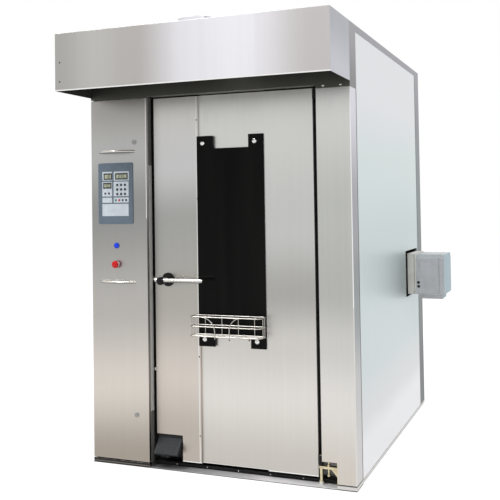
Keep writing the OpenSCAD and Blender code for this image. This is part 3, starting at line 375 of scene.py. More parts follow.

# %% [markdown]
# Real edges are never sharp: a folded or cut edge has a small round that catches the light, and the
# finish is thinner there. This group rounds the normal over a chosen radius, and gives a mask that
# is 1 on the edges, for a painted highlight on the edges of sheet steel, and for rubbed edges on
# plated metal and paint.

# %% The group for edges
EDGE_START, EDGE_FULL = 0.02, 0.2  # how far the normal has turned where the mask starts and is 1


def make_edges():
    """A rounded normal, and a mask of the edges."""
    tree, given, result = new_group("edges", [("Radius", "Float", 0.001)],
                                    [("Mask", "Float"), ("Normal", "Vector")])
    bevel = node_in(tree, "Bevel", samples=4)
    feed(tree, bevel.inputs["Radius"], given["Radius"])
    flat = node_in(tree, "NewGeometry")
    turned_by = calc(tree, "SUBTRACT", 1.0, dot(tree, bevel.outputs[0], flat.outputs["Normal"]))
    feed(tree, result["Mask"], ramp(tree, turned_by, EDGE_START, EDGE_FULL))
    feed(tree, result["Normal"], bevel.outputs[0])
    return tree


EDGES = make_edges()
print("group", EDGES.name)

# %% [markdown]
# Two more groups make soft patches where hands have been, and the pebbled skin of moulded parts.

# %% The groups for hands and moulded grain
# a patch starts where the noise passes CLEAN less PER_COVER times the cover, and its rim is SOFT
CLEAN, PER_COVER, SOFT = 0.75, 0.5, 0.3
MOTTLE_SIZE = 24.0  # patches in a metre


def make_smudges():
    """Soft patches where hands and cloths have been."""
    tree, given, result = new_group("smudges", [("Size", "Float", 5.0), ("Cover", "Float", 0.5)],
                                    [("Mask", "Float")])
    cloud = noise(tree, own_place(tree), given["Size"], detail=5, rough=0.62)
    start = calc(tree, "SUBTRACT", CLEAN, calc(tree, "MULTIPLY", given["Cover"], PER_COVER))
    feed(tree, result["Mask"], ramp(tree, cloud, start, calc(tree, "ADD", start, SOFT), smooth=True))
    return tree


def make_pebble():
    """The fine pebbled skin of moulded plastic, rubber and textured paint."""
    tree, given, result = new_group("pebble", [("Size", "Float", 900.0)],
                                    [("Height", "Float"), ("Mottle", "Float")])
    cells = node_in(tree, "TexVoronoi", feature="SMOOTH_F1")
    feed(tree, cells.inputs["Vector"], own_place(tree))
    feed(tree, cells.inputs["Scale"], given["Size"])
    feed(tree, result["Height"], cells.outputs["Distance"])
    feed(tree, result["Mottle"], noise(tree, own_place(tree), MOTTLE_SIZE, detail=4))
    return tree


SMUDGES = make_smudges()
PEBBLE = make_pebble()
print("groups", SMUDGES.name, PEBBLE.name)

# %% [markdown]
# The last two groups are masks of faces by the way they look, since a folded edge or the underside
# of a bar shows another part of the room than the front does, and so gets a painted reflection of
# its own.

# %% The groups for the ways that faces look
SIDE_ON, FACE_ON = 0.1, 0.85  # cosines at which a face starts to count, and counts in full


def make_sideways():
    """1 on the faces that look left or right, and 0 on the others."""
    tree, given, result = new_group("sideways faces", [("Least", "Float", 0.7)], [("Mask", "Float")])
    parts = node_in(tree, "SeparateXYZ")
    feed(tree, parts.inputs[0], node_in(tree, "TexCoord").outputs["Normal"])
    turned = calc(tree, "ABSOLUTE", parts.outputs["X"])
    feed(tree, result["Mask"], calc(tree, "GREATER_THAN", turned, given["Least"]))
    return tree


def make_facing():
    """How far a face looks along a direction: 0 when it stands across it, and 1 when it faces it."""
    tree, given, result = new_group("facing", [("Direction", "Vector", (0, 0, 1))], [("Mask", "Float")])
    agreed = dot(tree, node_in(tree, "TexCoord").outputs["Normal"], given["Direction"])
    feed(tree, result["Mask"], ramp(tree, agreed, SIDE_ON, FACE_ON, smooth=True))
    return tree


SIDEWAYS = make_sideways()
FACING = make_facing()
print("groups", SIDEWAYS.name, FACING.name)

# %% [markdown]
# ## Stainless steel sheet
# Five helpers come first. They turn a colour as it looks on the screen into a shader's own numbers,
# feed sockets by their names, place a group in a material, make a material with a Principled
# shader, and bend its normal.

# %% Helpers for finishes
def tone(red, green, blue):
    """A colour written as it looks on the screen, from 0 to 255, for a shader."""
    def straight(value):
        """One channel through the curve of the sRGB standard, whose own numbers these are."""
        share = value / 255
        return share / 12.92 if share <= 0.04045 else ((share + 0.055) / 1.055) ** 2.4
    return (straight(red), straight(green), straight(blue), 1.0)


def feed_all(tree, sockets, **values):
    """Feeds the sockets of those names, with the words of a name joined by underscores."""
    for label, value in values.items():
        feed(tree, sockets[label.replace("_", " ")], value)


def group_in(tree, group, **values):
    """Places a group in a material, and feeds its inputs."""
    node = node_in(tree, "Group", node_tree=group)
    feed_all(tree, node.inputs, **values)
    return node.outputs


def new_finish(name, **constants):
    """A material with a Principled shader, and its constant values."""
    material = bpy.data.materials.new(name)
    material.use_nodes = True
    tree = material.node_tree
    shader = tree.nodes["Principled BSDF"].inputs
    feed_all(tree, shader, **constants)
    return material, tree, shader


def bumped(tree, height, strength, distance, normal=None):
    """A normal that follows the height, on top of another normal if one is given."""
    node = node_in(tree, "Bump")
    node.inputs["Strength"].default_value = strength
    node.inputs["Distance"].default_value = distance
    feed(tree, node.inputs["Height"], height)
    if normal is not None:
        feed(tree, node.inputs["Normal"], normal)
    return node.outputs[0]


print("a screen grey of 128 is", round(tone(128, 128, 128)[0], 3), "in a shader")

# %% [markdown]
# The next helpers change a colour: inside boxes, on faces that look some way, or everywhere by a
# factor. A box between two corners paints a highlight on a hem or edge, a dark seam, or the shade of
# a gap that is too thin to model.

# %% Helpers for colours
def inside_of(tree, low, high):
    """1 at points between two corners, and 0 elsewhere."""
    parts = node_in(tree, "SeparateXYZ")
    feed(tree, parts.inputs[0], own_place(tree))
    mask = 1.0
    for axis, lowest, highest in zip("XYZ", low, high):
        over = calc(tree, "GREATER_THAN", parts.outputs[axis], lowest)
        under = calc(tree, "LESS_THAN", parts.outputs[axis], highest)
        mask = calc(tree, "MULTIPLY", mask, calc(tree, "MULTIPLY", over, under))
    return mask


def spotted(tree, shade, spots):
    """shade with another tone inside each box of spots, (low corner, high corner, tone)."""
    for low, high, other in spots:
        shade = blend_tones(tree, inside_of(tree, low, high), shade, tone(*other))
    return shade


def faced(tree, shade, faces):
    """shade with another tone on the faces that look each way of faces, (direction, tone)."""
    for direction, other in faces:
        facing = group_in(tree, FACING, Direction=direction)
        shade = blend_tones(tree, facing["Mask"], shade, tone(*other))
    return shade


def lit(tree, shade, factor):
    """shade made lighter or darker by a factor."""
    node = node_in(tree, "VectorMath", operation="SCALE")
    feed(tree, node.inputs[0], shade if isinstance(shade, bpy.types.NodeSocket) else shade[:3])
    feed(tree, node.inputs["Scale"], factor)
    return node.outputs[0]


print("colour helpers ready")

# %% [markdown]
# The shader of a sheet is a metal whose colour comes from its tones by height, which are painted
# reflections of the room, lightened and darkened a little along the streaks, with a painted highlight
# on its rounded edges. The same streaks move the roughness, so that highlights break up along the
# brushing as they do on real sheet.

# %% The steel sheet material
UP_FINE, UP_COARSE = (900, 900, 6), (55, 55, 0.7)  # streaks in a metre along each axis
BRUSH_BUMP, GRAIN_DEPTH = 0.10, 0.0002  # strength, and depth in metres
BRUSH_SPREAD = 0.35  # how far the brushing draws out a highlight
# the painted highlight along the rounded edges of a sheet: its share and its tone
EDGE_HIGHLIGHT_SHARE, EDGE_HIGHLIGHT = 0.5, (0.8, 0.8, 0.79, 1)
MARK_ROUGHNESS = 0.06  # how much rougher a hand mark is than the sheet round it
SPARE = 100  # millimetres between stops that only repeat the last tone


def toned(tree, stops, direction=(0, 0, 1), drift=0.12):
    """The colour of a tone run. A stop is millimetres, red, green and blue, and the last repeats."""
    last, *repeated = stops[-1]
    missing = range(1, 1 + TONES - len(stops))
    stops = stops + [(last + SPARE * number, *repeated) for number in missing]
    values = {"Direction": direction, "Drift": drift}
    for number, (place, *colour) in enumerate(stops, start=1):
        values[f"Stop_{number}"] = place * MM + (LEFT if direction[0] else 0)
        values[f"Tone_{number}"] = tone(*colour)
    return group_in(tree, TONE_RUN, **values)["Color"]


def sheet_steel(name, stops, side=None, spots=(), rough=(0.30, 0.44), streaks=0.035, matt=None):
    """Brushed sheet with painted reflection tones by height, streaks, hand marks, and rounded edges with a
    painted highlight.

    side holds the painted reflection tones of faces that look left or right, spots the painted
    highlights on hems and edges, the seams and painted shade in gaps, and matt the two corners of a
    part that is painted and not bare.
    """
    material, tree, shader = new_finish(name, Metallic=1.0, Anisotropic=BRUSH_SPREAD)
    # painted reflections of the room: tones by height, and on sideways faces tones of their own
    shade = toned(tree, stops)
    if side:
        sideways = group_in(tree, SIDEWAYS)["Mask"]
        shade = blend_tones(tree, sideways, shade, toned(tree, side))
    shade = spotted(tree, shade, spots)
    brushed = group_in(tree, BRUSHING, Fine=UP_FINE, Coarse=UP_COARSE)
    marks = group_in(tree, SMUDGES, Size=3.2, Cover=0.35)
    edges = group_in(tree, EDGES, Radius=0.0012)
    streaked = lit(tree, shade, ramp(tree, brushed["Streak"], 0, 1, 1 - streaks, 1 + streaks))
    # a painted highlight along the rounded edges
    bright = calc(tree, "MULTIPLY", edges["Mask"], EDGE_HIGHLIGHT_SHARE)
    gloss = ramp(tree, brushed["Streak"], 0, 1, *rough)
    dulled = calc(tree, "MULTIPLY", marks["Mask"], MARK_ROUGHNESS)
    feed_all(tree, shader, Base_Color=blend_tones(tree, bright, streaked, EDGE_HIGHLIGHT),
             Roughness=calc(tree, "ADD", gloss, dulled),
             Normal=bumped(tree, brushed["Height"], BRUSH_BUMP, GRAIN_DEPTH, edges["Normal"]))
    if matt:
        feed(tree, shader["Metallic"], calc(tree, "SUBTRACT", 1.0, inside_of(tree, *matt)))
    return material


print("sheet steel runs through", TONES, "tones")

# %% [markdown]
# Each sheet has tones from foot to head, painted reflections of the room. Each is a height in
# millimetres with red, green and blue as on the screen. A spot is two opposite corners and a tone,
# and reaches a little past the sheet's own faces, so that they lie inside it. The spots paint
# highlights on hems and folded edges, dark seams, and shade in gaps.

# %% Mix the steel of the front sheets
WIDTH, DEPTH = 1500, 1900  # the body, in millimetres
COLUMN = 350  # the right edge of the control column
DOOR_SEAM = 631  # the seam between the left and middle door panels
# painted reflection tones of the sideways faces of the right front panel
SIDE_REFLECTION_TONES = [(220, 199, 197, 196), (500, 186, 186, 186), (900, 140, 146, 146),
             (1400, 158, 158, 163), (1950, 216, 214, 222)]
# the painted highlight along a hem, and the tone of a dark seam
HEM_HIGHLIGHT, SEAM = (240, 239, 237), (70, 72, 72)
COLUMN_STEEL = sheet_steel(
    "column steel", [(40, 158, 150, 140), (440, 207, 200, 192), (860, 179, 176, 172),
                     (1420, 148, 148, 146), (1740, 177, 177, 175), (1990, 163, 161, 157)],
    side=[(180, 100, 96, 90), (400, 178, 174, 168), (750, 156, 153, 148),
          (1130, 136, 135, 132), (1450, 200, 199, 196), (1850, 224, 223, 220)],
    # a painted highlight down the column's right edge
    spots=[(at(COLUMN - 6, -1, 1350), at(COLUMN, 3, 2012), (216, 215, 212))])
LEFT_STEEL = sheet_steel(
    "left door steel",
    [(150, 180, 172, 163), (480, 203, 195, 187), (900, 171, 168, 162),
     (1330, 163, 163, 160), (1640, 198, 198, 198), (1960, 206, 204, 200)],
    # a painted highlight down the fold at the door seam, and the hem's painted highlight along the foot
    spots=[(at(DOOR_SEAM - 5, 40, 20), at(DOOR_SEAM, 60, 2010), (222, 221, 218)),
           (at(372, 40, 36), at(640, 60, 43), HEM_HIGHLIGHT)])
FRONT_STEEL = sheet_steel(
    "front steel", [(60, 192, 188, 182), (420, 214, 210, 205), (700, 200, 197, 192),
                    (960, 168, 167, 163), (1300, 194, 194, 192), (1980, 211, 211, 207)],
    # the hem's painted highlight along the foot
    spots=[(at(DOOR_SEAM, 40, 36), at(1290, 70, 43), HEM_HIGHLIGHT)])
RIGHT_STEEL = sheet_steel(
    "right front steel",
    [(60, 200, 194, 186), (440, 214, 211, 207), (720, 198, 197, 193),
     (980, 177, 177, 173), (1400, 186, 187, 182), (1900, 209, 209, 206)],
    side=SIDE_REFLECTION_TONES,
    # painted highlights down the right edge, paler above, then dark seams at the back of the return and
    # along the foot
    spots=[(at(WIDTH - 4, -1, 900), at(WIDTH + 1, 4, 2000), (240, 240, 240)),
           (at(WIDTH - 4, -1, 20), at(WIDTH + 1, 4, 900), (216, 213, 209)),
           (at(WIDTH - 1, 112, 20), at(WIDTH + 1, 126, 2000), SEAM),
           (at(1320, -1, 20), at(WIDTH + 1, 126, 28), SEAM)])
print("front sheets", COLUMN_STEEL.name, LEFT_STEEL.name, FRONT_STEEL.name, RIGHT_STEEL.name)

# %% [markdown]
# The other sheets stand at the sides, the back, the trim and the foot, with painted reflection tones
# as well. The seams round the inspection cover at the back are four thin boxes. The cabinet's front
# edge is painted, so it is matt, and it carries painted shade at its top, at its foot and deep in the
# gap. The pan's front is darker below the column, with a thin painted highlight line across it.

# %% Mix the steel of the other sheets
SIDE_STEEL = sheet_steel(
    "side steel", [(180, 226, 226, 228), (360, 209, 211, 213), (630, 197, 206, 207),
                   (1180, 198, 209, 209), (1600, 210, 220, 220), (1980, 222, 224, 227)],
    streaks=0.025)
COVER_LEFT, COVER_RIGHT, COVER_LOW, COVER_TOP = 420, 1080, 620, 1480  # the inspection cover
LINE = 2.5  # half the width of a drawn seam, in millimetres
BACK_TONES = [(200, 190, 191, 193), (700, 172, 177, 178), (1300, 182, 187, 187),
              (2000, 196, 198, 201)]
BACK_STEEL = sheet_steel(
    "back steel", BACK_TONES,
    spots=[(at(x - LINE, DEPTH - 10, COVER_LOW - LINE), at(x + LINE, DEPTH + 1, COVER_TOP + LINE), SEAM)
           for x in (COVER_LEFT, COVER_RIGHT)] +
          [(at(COVER_LEFT, DEPTH - 10, z - LINE), at(COVER_RIGHT, DEPTH + 1, z + LINE), SEAM)
           for z in (COVER_LOW, COVER_TOP)])
TRIM_STEEL = sheet_steel(
    "trim steel", [(340, 88, 93, 95), (620, 98, 106, 106), (1000, 110, 120, 119),
                   (1430, 125, 134, 134), (1920, 136, 138, 142), (2250, 152, 151, 158)],
    spots=[(at(-1, 1740, 20), at(WIDTH + 1, 1764, 2292), (64, 68, 68))], streaks=0.03)
PAN_STEEL = sheet_steel(
    "pan steel", [(0, 206, 203, 200)],
    spots=[(at(-1, -1, -1), at(WIDTH + 1, DEPTH + 1, 5), SEAM),
           (at(-1, -1, 21), at(WIDTH + 1, DEPTH + 1, 25), SEAM),
           # darker below the column, with a thin painted highlight line across it
           (at(-1, -1, -1), at(COLUMN + 1, 20, 25), (52, 49, 46)),
           (at(-1, -1, 8), at(COLUMN + 1, 20, 13), (112, 109, 105))])
JAMB = (at(COLUMN - 3, -1, 20), at(COLUMN + 1, 124, 2020))  # the painted edge beside the door
CABINET_STEEL = sheet_steel(
    "cabinet steel", BACK_TONES, matt=JAMB,
    # the jamb's matt tone, painted shade at its top and foot, and painted black shade deep in the gap
    # behind the door
    spots=[(*JAMB, (172, 171, 167)), (at(COLUMN - 3, -1, 1640), JAMB[1], (92, 91, 88)),
           (JAMB[0], at(COLUMN + 1, 124, 300), (92, 91, 88)),
           (at(COLUMN - 3, 58, 20), JAMB[1], (18, 18, 18))])
print("other sheets", SIDE_STEEL.name, BACK_STEEL.name, TRIM_STEEL.name, PAN_STEEL.name)

# %% [markdown]
# A node of the CAD model gets one material for all of its faces. The sheets are dressed first.

# %% Dress the sheets
def dress(material, *nodes):
    """Gives those CAD nodes the material in every slot."""
    for node in nodes:
        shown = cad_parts[node]
        shown.data.materials.clear()
        shown.data.materials.append(material)


dress(COLUMN_STEEL, "service_door_panel")
dress(LEFT_STEEL, "left_door_panel")
dress(FRONT_STEEL, "centre_door_panel", "right_door_panel", "door_inner_panel")
dress(RIGHT_STEEL, "front_right_panel")
dress(SIDE_STEEL, "right_side_panel")
dress(BACK_STEEL, "left_side_panel", "rear_panel")
dress(TRIM_STEEL, "corner_trims", "roof_panel")
dress(PAN_STEEL, "base_pan")
dress(CABINET_STEEL, "control_cabinet")
print("rear_panel wears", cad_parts["rear_panel"].data.materials[0].name)

# %% [markdown]
# ## The canopy
# The canopy is an open hood. Outside it is brushed across, with soft bright and dark bands painted
# as the room's reflections in a sheet that bows a little between its folds, and a painted highlight
# along its lower hem. Inside it is duller sheet painted dark as the shade that fills the hood seen
# from below. One material serves both, with a mask of the points inside the hood.

# %% The canopy's steel
SKIN = 0.0012  # metres, the thickness of the hood's sheet
HEM_HIGH = 0.006  # metres, the height of its lower hem
MARKS = (2075, 2176)  # heights of two small dark marks by its left fold
HOOD_GLOSS, HOLLOW_ROUGHNESS = (0.28, 0.40), 0.6
HOOD_STREAKS = 0.02


def hood_steel():
    """Brushed steel outside with painted reflection bands, and duller sheet painted dark as shade inside.
    """
    low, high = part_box("canopy_hood")
    lid = max(corner.co.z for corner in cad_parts["corner_trims"].data.vertices)
    material, tree, shader = new_finish("canopy steel", Metallic=1.0, Anisotropic=BRUSH_SPREAD)
    hollow = inside_of(tree, (low.x + SKIN, low.y + SKIN, 0), (high.x - SKIN, high.y + 1, lid - SKIN))
    # painted reflections of the room: bright and dark bands across the bowed front
    bands = toned(
        tree, [(30, 170, 169, 165), (240, 187, 185, 181), (460, 180, 176, 173),
               (800, 226, 225, 230), (1040, 234, 233, 238), (1430, 194, 190, 189)],
        direction=(1, 0, 0), drift=0.06)
    sideways = group_in(tree, SIDEWAYS)["Mask"]
    # the sideways faces get painted reflection tones of their own
    outside = blend_tones(tree, sideways, bands, toned(tree, [(2040, 192, 192, 200),
                                                              (2300, 168, 170, 176)]))
    outer = Vector((low.x - SKIN, low.y - SKIN, low.z - SKIN))
    # a painted highlight along the lower hem
    hem = (outer, Vector((high.x, low.y + SKIN, low.z + HEM_HIGH)), HEM_HIGHLIGHT)
    marks = [(at(24, -341, z - 4), at(32, -339, z + 4), SEAM) for z in MARKS]
    outside = spotted(tree, outside, [hem] + marks)
    brushed = group_in(tree, BRUSHING, Fine=UP_FINE, Coarse=UP_COARSE)
    edges = group_in(tree, EDGES, Radius=0.0015)
    outside = lit(tree, outside, ramp(tree, brushed["Streak"], 0, 1, 1 - HOOD_STREAKS, 1 + HOOD_STREAKS))
    gloss = ramp(tree, brushed["Streak"], 0, 1, *HOOD_GLOSS)
    dull = calc(tree, "MULTIPLY", hollow, HOLLOW_ROUGHNESS)
    # the inside of the hood is painted dark as the shade that fills it
    feed_all(tree, shader, Base_Color=blend_tones(tree, hollow, outside, tone(104, 104, 98)),
             Roughness=calc(tree, "MAXIMUM", gloss, dull),
             Normal=bumped(tree, brushed["Height"], BRUSH_BUMP, GRAIN_DEPTH, edges["Normal"]))
    return material


dress(hood_steel(), "canopy_hood")
# the wall at the back of the hood is painted dark as the hood's shade, and its sideways faces lighter
WALL_STEEL = sheet_steel("wall steel", [(2000, 96, 96, 90), (2300, 84, 84, 79)],
                         side=[(2000, 140, 139, 141), (2300, 160, 159, 163)], rough=(0.45, 0.6))
dress(WALL_STEEL, "upper_front_panel")

# %% [markdown]
# ## Inner sheet, cast and plated metal
# Sheet that nobody sees is duller and left as it came from the rolls. Heat turns the exchanger
# brown and blue. Plated brackets have the yellow, slightly rainbow skin of zinc, and the polished
# bars have almost no grain.

# %% The plain metal material
RUBBED = 0.6  # share of the edge's own tone on the edges
GRAIN = 900.0  # grains in a metre


def plain_metal(name, colour, other, roughness, edge_colour=None, patch=8.0, grain=0.05,
                faces=(), spots=()):
    """Metal in two close colours that change in patches, with rubbed edges."""
    material, tree, shader = new_finish(name, Metallic=1.0)
    patches = group_in(tree, SMUDGES, Size=patch, Cover=0.6)
    edges = group_in(tree, EDGES, Radius=0.0006)
    base = blend_tones(tree, patches["Mask"], tone(*colour), tone(*other))
    base = spotted(tree, faced(tree, base, faces), spots)
    if edge_colour:
        base = blend_tones(tree, calc(tree, "MULTIPLY", edges["Mask"], RUBBED), base, tone(*edge_colour))
    fine = noise(tree, own_place(tree), GRAIN)
    feed_all(tree, shader, Base_Color=base,
             Roughness=ramp(tree, patches["Mask"], 0, 1, roughness - 0.04, roughness + 0.08),
             Normal=bumped(tree, fine, grain, GRAIN_DEPTH, edges["Normal"]))
    return material


print("plain metal has", GRAIN, "grains in a metre")

# %% [markdown]
# Every plain metal is two close colours, a roughness and a size of patches. The bars and wires are
# painted lighter on top and darker below, and the bolts darker below, as painted reflections of the
# room above and of the floor's shade.

# %% Mix the plain metals
DULL_SHEET = plain_metal("dull sheet", (150, 150, 147), (132, 132, 130), 0.48, patch=3.0)
CHAMBER_SHEET = plain_metal("chamber sheet", (168, 163, 154), (138, 128, 112), 0.38, patch=2.2)
HEATED = plain_metal("heated steel", (96, 84, 76), (70, 66, 82), 0.55, patch=6.0)
UP, DOWN, RIGHT, TO_FRONT, TO_BACK = (0, 0, 1), (0, 0, -1), (1, 0, 0), (0, -1, 0), (0, 1, 0)
ZINC = plain_metal("yellow zinc", (214, 203, 172), (190, 178, 146), 0.40,
                   edge_colour=(230, 222, 200), patch=30.0,
                   # painted black shade on the top bracket under the header
                   spots=[(at(1280, 0, 1900), at(1410, 140, 2020), (26, 26, 26)),
                          (at(1288, 28, 4), at(1322, 62, 21), (240, 238, 232))])
# painted reflections: lighter on faces that look up, darker on faces that look down
POLISHED = plain_metal("polished bar", (196, 194, 189), (178, 176, 171), 0.26, patch=12.0, grain=0.01,
                       faces=[(UP, (226, 223, 217)), (DOWN, (112, 107, 101))])
BRIGHT = plain_metal("bright bolt", (226, 226, 224), (206, 206, 204), 0.24, patch=12.0, grain=0.01,
                     faces=[(DOWN, (140, 138, 134))])
SPRUNG = plain_metal("bright wire", (180, 176, 170), (158, 153, 147), 0.38, patch=18.0, grain=0.02,
                     faces=[(UP, (212, 208, 202)), (DOWN, (92, 88, 84))])
LOCK = plain_metal("lock barrel", (152, 152, 150), (136, 136, 134), 0.42, patch=40.0)
print("metals", [metal.name for metal in (DULL_SHEET, CHAMBER_SHEET, HEATED, ZINC, POLISHED, SPRUNG)])

# %% [markdown]
# The plain metals go to the chamber and its parts, the brackets, and everything that is polished.

# %% Dress the plain metals
dress(DULL_SHEET, "front_frame", "steam_outlet_pipe", "latch_link_rod")
dress(CHAMBER_SHEET, "chamber_left_wall", "chamber_right_wall", "chamber_rear_wall", "chamber_ceiling",
      "chamber_floor", "steam_generator", "fan_wheel")
dress(HEATED, "heat_exchanger")
dress(ZINC, "hinge_brackets")
dress(POLISHED, "handle_lever", "latch_spindle", "lower_latch_hook", "bow_handles", "damper_flap",
      "rack_hanger")
dress(BRIGHT, "glass_bolts")
dress(LOCK, "upper_cam_lock", "lower_cam_lock")
dress(SPRUNG, "wire_basket")
print("rack_hanger wears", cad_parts["rack_hanger"].data.materials[0].name)

# %% [markdown]
# ## Paint, plastic and rubber
# These are not metals, so the light enters the skin and comes back coloured. A pebbled bump gives
# the moulded or sprayed skin, and the edges are rubbed lighter where hands and boots pass.

# %% The coated material
MOTTLE_DARK, MOTTLE_LIGHT = 0.9, 1.08
SKIN_BUMP = 0.35  # strength of the pebbles
WEAR = 0.35  # share of the rubbed colour on the edges


def coated(name, colour, rubbed, roughness, shine=0.5, pebble=900.0, depth=0.00012, faces=(), spots=()):
    """Paint, plastic or rubber with a pebbled skin, mottle and rubbed edges."""
    material, tree, shader = new_finish(name, Specular_IOR_Level=shine)
    skin = group_in(tree, PEBBLE, Size=pebble)
    edges = group_in(tree, EDGES, Radius=0.0008)
    shade = spotted(tree, faced(tree, tone(*colour), faces), spots)
    mottle = ramp(tree, skin["Mottle"], NOISE_LOW, NOISE_HIGH, MOTTLE_DARK, MOTTLE_LIGHT)
    worn = calc(tree, "MULTIPLY", edges["Mask"], WEAR)
    gloss = ramp(tree, skin["Mottle"], NOISE_LOW, NOISE_HIGH, roughness - 0.05, roughness + 0.05)
    feed_all(tree, shader, Base_Color=blend_tones(tree, worn, lit(tree, shade, mottle), tone(*rubbed)),
             Roughness=gloss, Normal=bumped(tree, skin["Height"], SKIN_BUMP, depth, edges["Normal"]))
    return material


FLAT = {"pebble": 1600.0, "depth": 0.00003}
print("a smooth moulding has", FLAT)

# %% [markdown]
# Each paint or plastic is its colour, its rubbed colour and a roughness. Keys and bezels of another
# colour share their neighbours' node, so they are spots in the same finish.

# %% Mix and use the paints, plastics and rubbers
BLACK_STEEL = coated("black steel", (16, 16, 15), (64, 64, 62), 0.5, shine=0.2)
# the top and right faces of the burner cover are painted other tones, a painted reflection of the light on
# each side
COVER_PAINT = coated("satin grey paint", (172, 172, 175), (206, 210, 212), 0.42, pebble=700.0,
                     faces=[(UP, (160, 163, 166)), (RIGHT, (138, 160, 168))])
dress(coated("motor enamel", (58, 82, 104), (120, 138, 150), 0.42, pebble=420.0), "roof_motors")
dress(coated("contactor plastic", (92, 94, 98), (150, 150, 152), 0.5), "contactor_panel")
# the flange behind the side panel is painted black as the shade round the cut-out
dress(coated("textured paint", (200, 199, 194), (222, 221, 217), 0.7, pebble=160.0, depth=0.0008,
             spots=[(at(1430, 1300, 780), at(WIDTH - 1, 1740, 1120), (10, 10, 10))]), "burner_flange")
dress(COVER_PAINT, "burner_body")
dress(coated("nylon", (232, 231, 224), (240, 240, 236), 0.45), "strike_rollers")
dress(BLACK_STEEL, "door_frame", "pedal_bracket")
dress(coated("silicone", (20, 20, 20), (38, 38, 38), 0.6, shine=0.3), "door_gasket")
dress(coated("phenolic", (6, 6, 7), (40, 40, 42), 0.3, shine=0.18, **FLAT),
      "handle_rose", "handle_hub")
dress(coated("pedal rubber", (40, 42, 44), (84, 87, 90), 0.62, pebble=500.0, depth=0.0003,
             shine=0.25), "foot_pedal")
dress(coated("panel film", (84, 97, 109), (112, 124, 136), 0.4, **FLAT), "control_panel_plate")
RED_KEY, GREEN_KEY = (168, 30, 48), (26, 104, 88)
dress(coated("key cap", (42, 47, 56), (76, 82, 92), 0.42, **FLAT,
             spots=[(at(172, -8, 1445), at(186, -3, 1459), RED_KEY),
                    (at(150, -8, 1445), at(164, -3, 1459), GREEN_KEY)]), "keypad_keys")
dress(coated("bezel", (206, 205, 201), (226, 225, 222), 0.4, **FLAT,
             spots=[(at(138, -8, 1181), at(178, 1, 1221), (18, 58, 186))]), "button_bezels")
dress(coated("blue cap", (12, 56, 206), (50, 100, 230), 0.34, shine=0.3, **FLAT),
      "start_button")
dress(coated("red cap", (178, 4, 8), (206, 40, 42), 0.34, shine=0.3, **FLAT),
      "stop_button")
print("coated finishes done")

# %% [markdown]
# Boots have dulled the ledge of the sill, so it is a matt grey. It carries a painted shadow of the
# pedal, and grows lighter from the pedal towards the hinge. The riser behind it is painted black as
# the shade in the gap under the door, and the lip along the floor is painted dark.

# %% The scuffed ledge
def scuffed_ledge():
    """Matt trodden steel with a painted shadow of the pedal along the front, a riser painted black as
    shade, and a dark lip.
    """
    material, tree, shader = new_finish("scuffed ledge", Specular_IOR_Level=0.3)
    # a painted shadow of the pedal, darkest by it and fading towards the hinge
    shade = toned(tree, [(430, 88, 88, 88), (620, 126, 125, 126), (850, 150, 149, 150),
                         (1050, 188, 186, 188), (1300, 182, 181, 182)],
                  direction=RIGHT, drift=0.05)
    # painted shade: a black riser in the gap under the door; and a dark lip along the floor
    shade = spotted(tree, shade, [(at(340, 66, 5), at(1410, 126, 26), (14, 14, 14)),
                                  (at(340, -1, -1), at(1410, 4, 3.5), (58, 58, 58))])
    scuffs = group_in(tree, SMUDGES, Size=40.0, Cover=0.5)
    feed_all(tree, shader, Base_Color=lit(tree, shade, ramp(tree, scuffs["Mask"], 0, 1, 1.04, 0.9)),
             Roughness=ramp(tree, scuffs["Mask"], 0, 1, 0.5, 0.66))
    return material


dress(scuffed_ledge(), "front_sill")
print("the sill is", [round(edge) for edge in width_of("front_sill")])

# %% [markdown]
# ## Glass, the display windows and the wool
# The door's outer glass is tinted so dark that only gloss shows. The inner glass and the lamp's
# cover let light through.

# %% Glass
DEPTH_CLOUD = (9, 9, 0.5)  # waves in a metre


def dark_glass():
    """Black tinted glass: a dark body, a faint cloud in its depth and a low gloss."""
    material, tree, shader = new_finish("tinted glass", Roughness=0.08, Specular_IOR_Level=0.05)
    streak = noise(tree, scaled(tree, own_place(tree), DEPTH_CLOUD))
    depth = ramp(tree, streak, 0.35, 0.75)
    feed_all(tree, shader, Base_Color=blend_tones(tree, depth, tone(9, 9, 9), tone(20, 19, 18)),
             Roughness=ramp(tree, streak, NOISE_LOW, NOISE_HIGH, 0.05, 0.12))
    return material


def clear_glass(name, colour, roughness):
    """Glass that lets light through, with faint clouds in its gloss."""
    material, tree, shader = new_finish(name, Transmission_Weight=0.9, IOR=1.45)
    cloud = group_in(tree, SMUDGES, Size=14.0, Cover=0.4)
    feed_all(tree, shader, Base_Color=blend_tones(tree, cloud["Mask"], tone(*colour), tone(226, 228, 228)),
             Roughness=ramp(tree, cloud["Mask"], 0, 1, roughness, roughness + 0.1))
    return material


dress(dark_glass(), "outer_glass")
dress(clear_glass("clear glass", (214, 222, 220), 0.03), "inner_glass")
dress(clear_glass("frosted glass", (236, 232, 218), 0.35), "chamber_lamp")
print("glass on outer_glass, inner_glass and chamber_lamp")

# %% [markdown]
# The displays are one node. A dark rim runs inside each window, and a dark frame round it on the
# film of the panel.

# %% Display windows
# each window is its left, low, right and high edge in millimetres, and what it shows
WINDOWS = [(83, 1569, 132, 1598, "18"), (157, 1569, 231, 1598, "235"), (80, 1520, 127, 1546, "40")]
RIM = 4.5  # millimetres of dark rim inside each display window
FRAME, FRAME_TOP = 3.5, 4.5  # millimetres of dark frame round each window
PIXELS = (2400, 1, 2400)  # lines in a metre


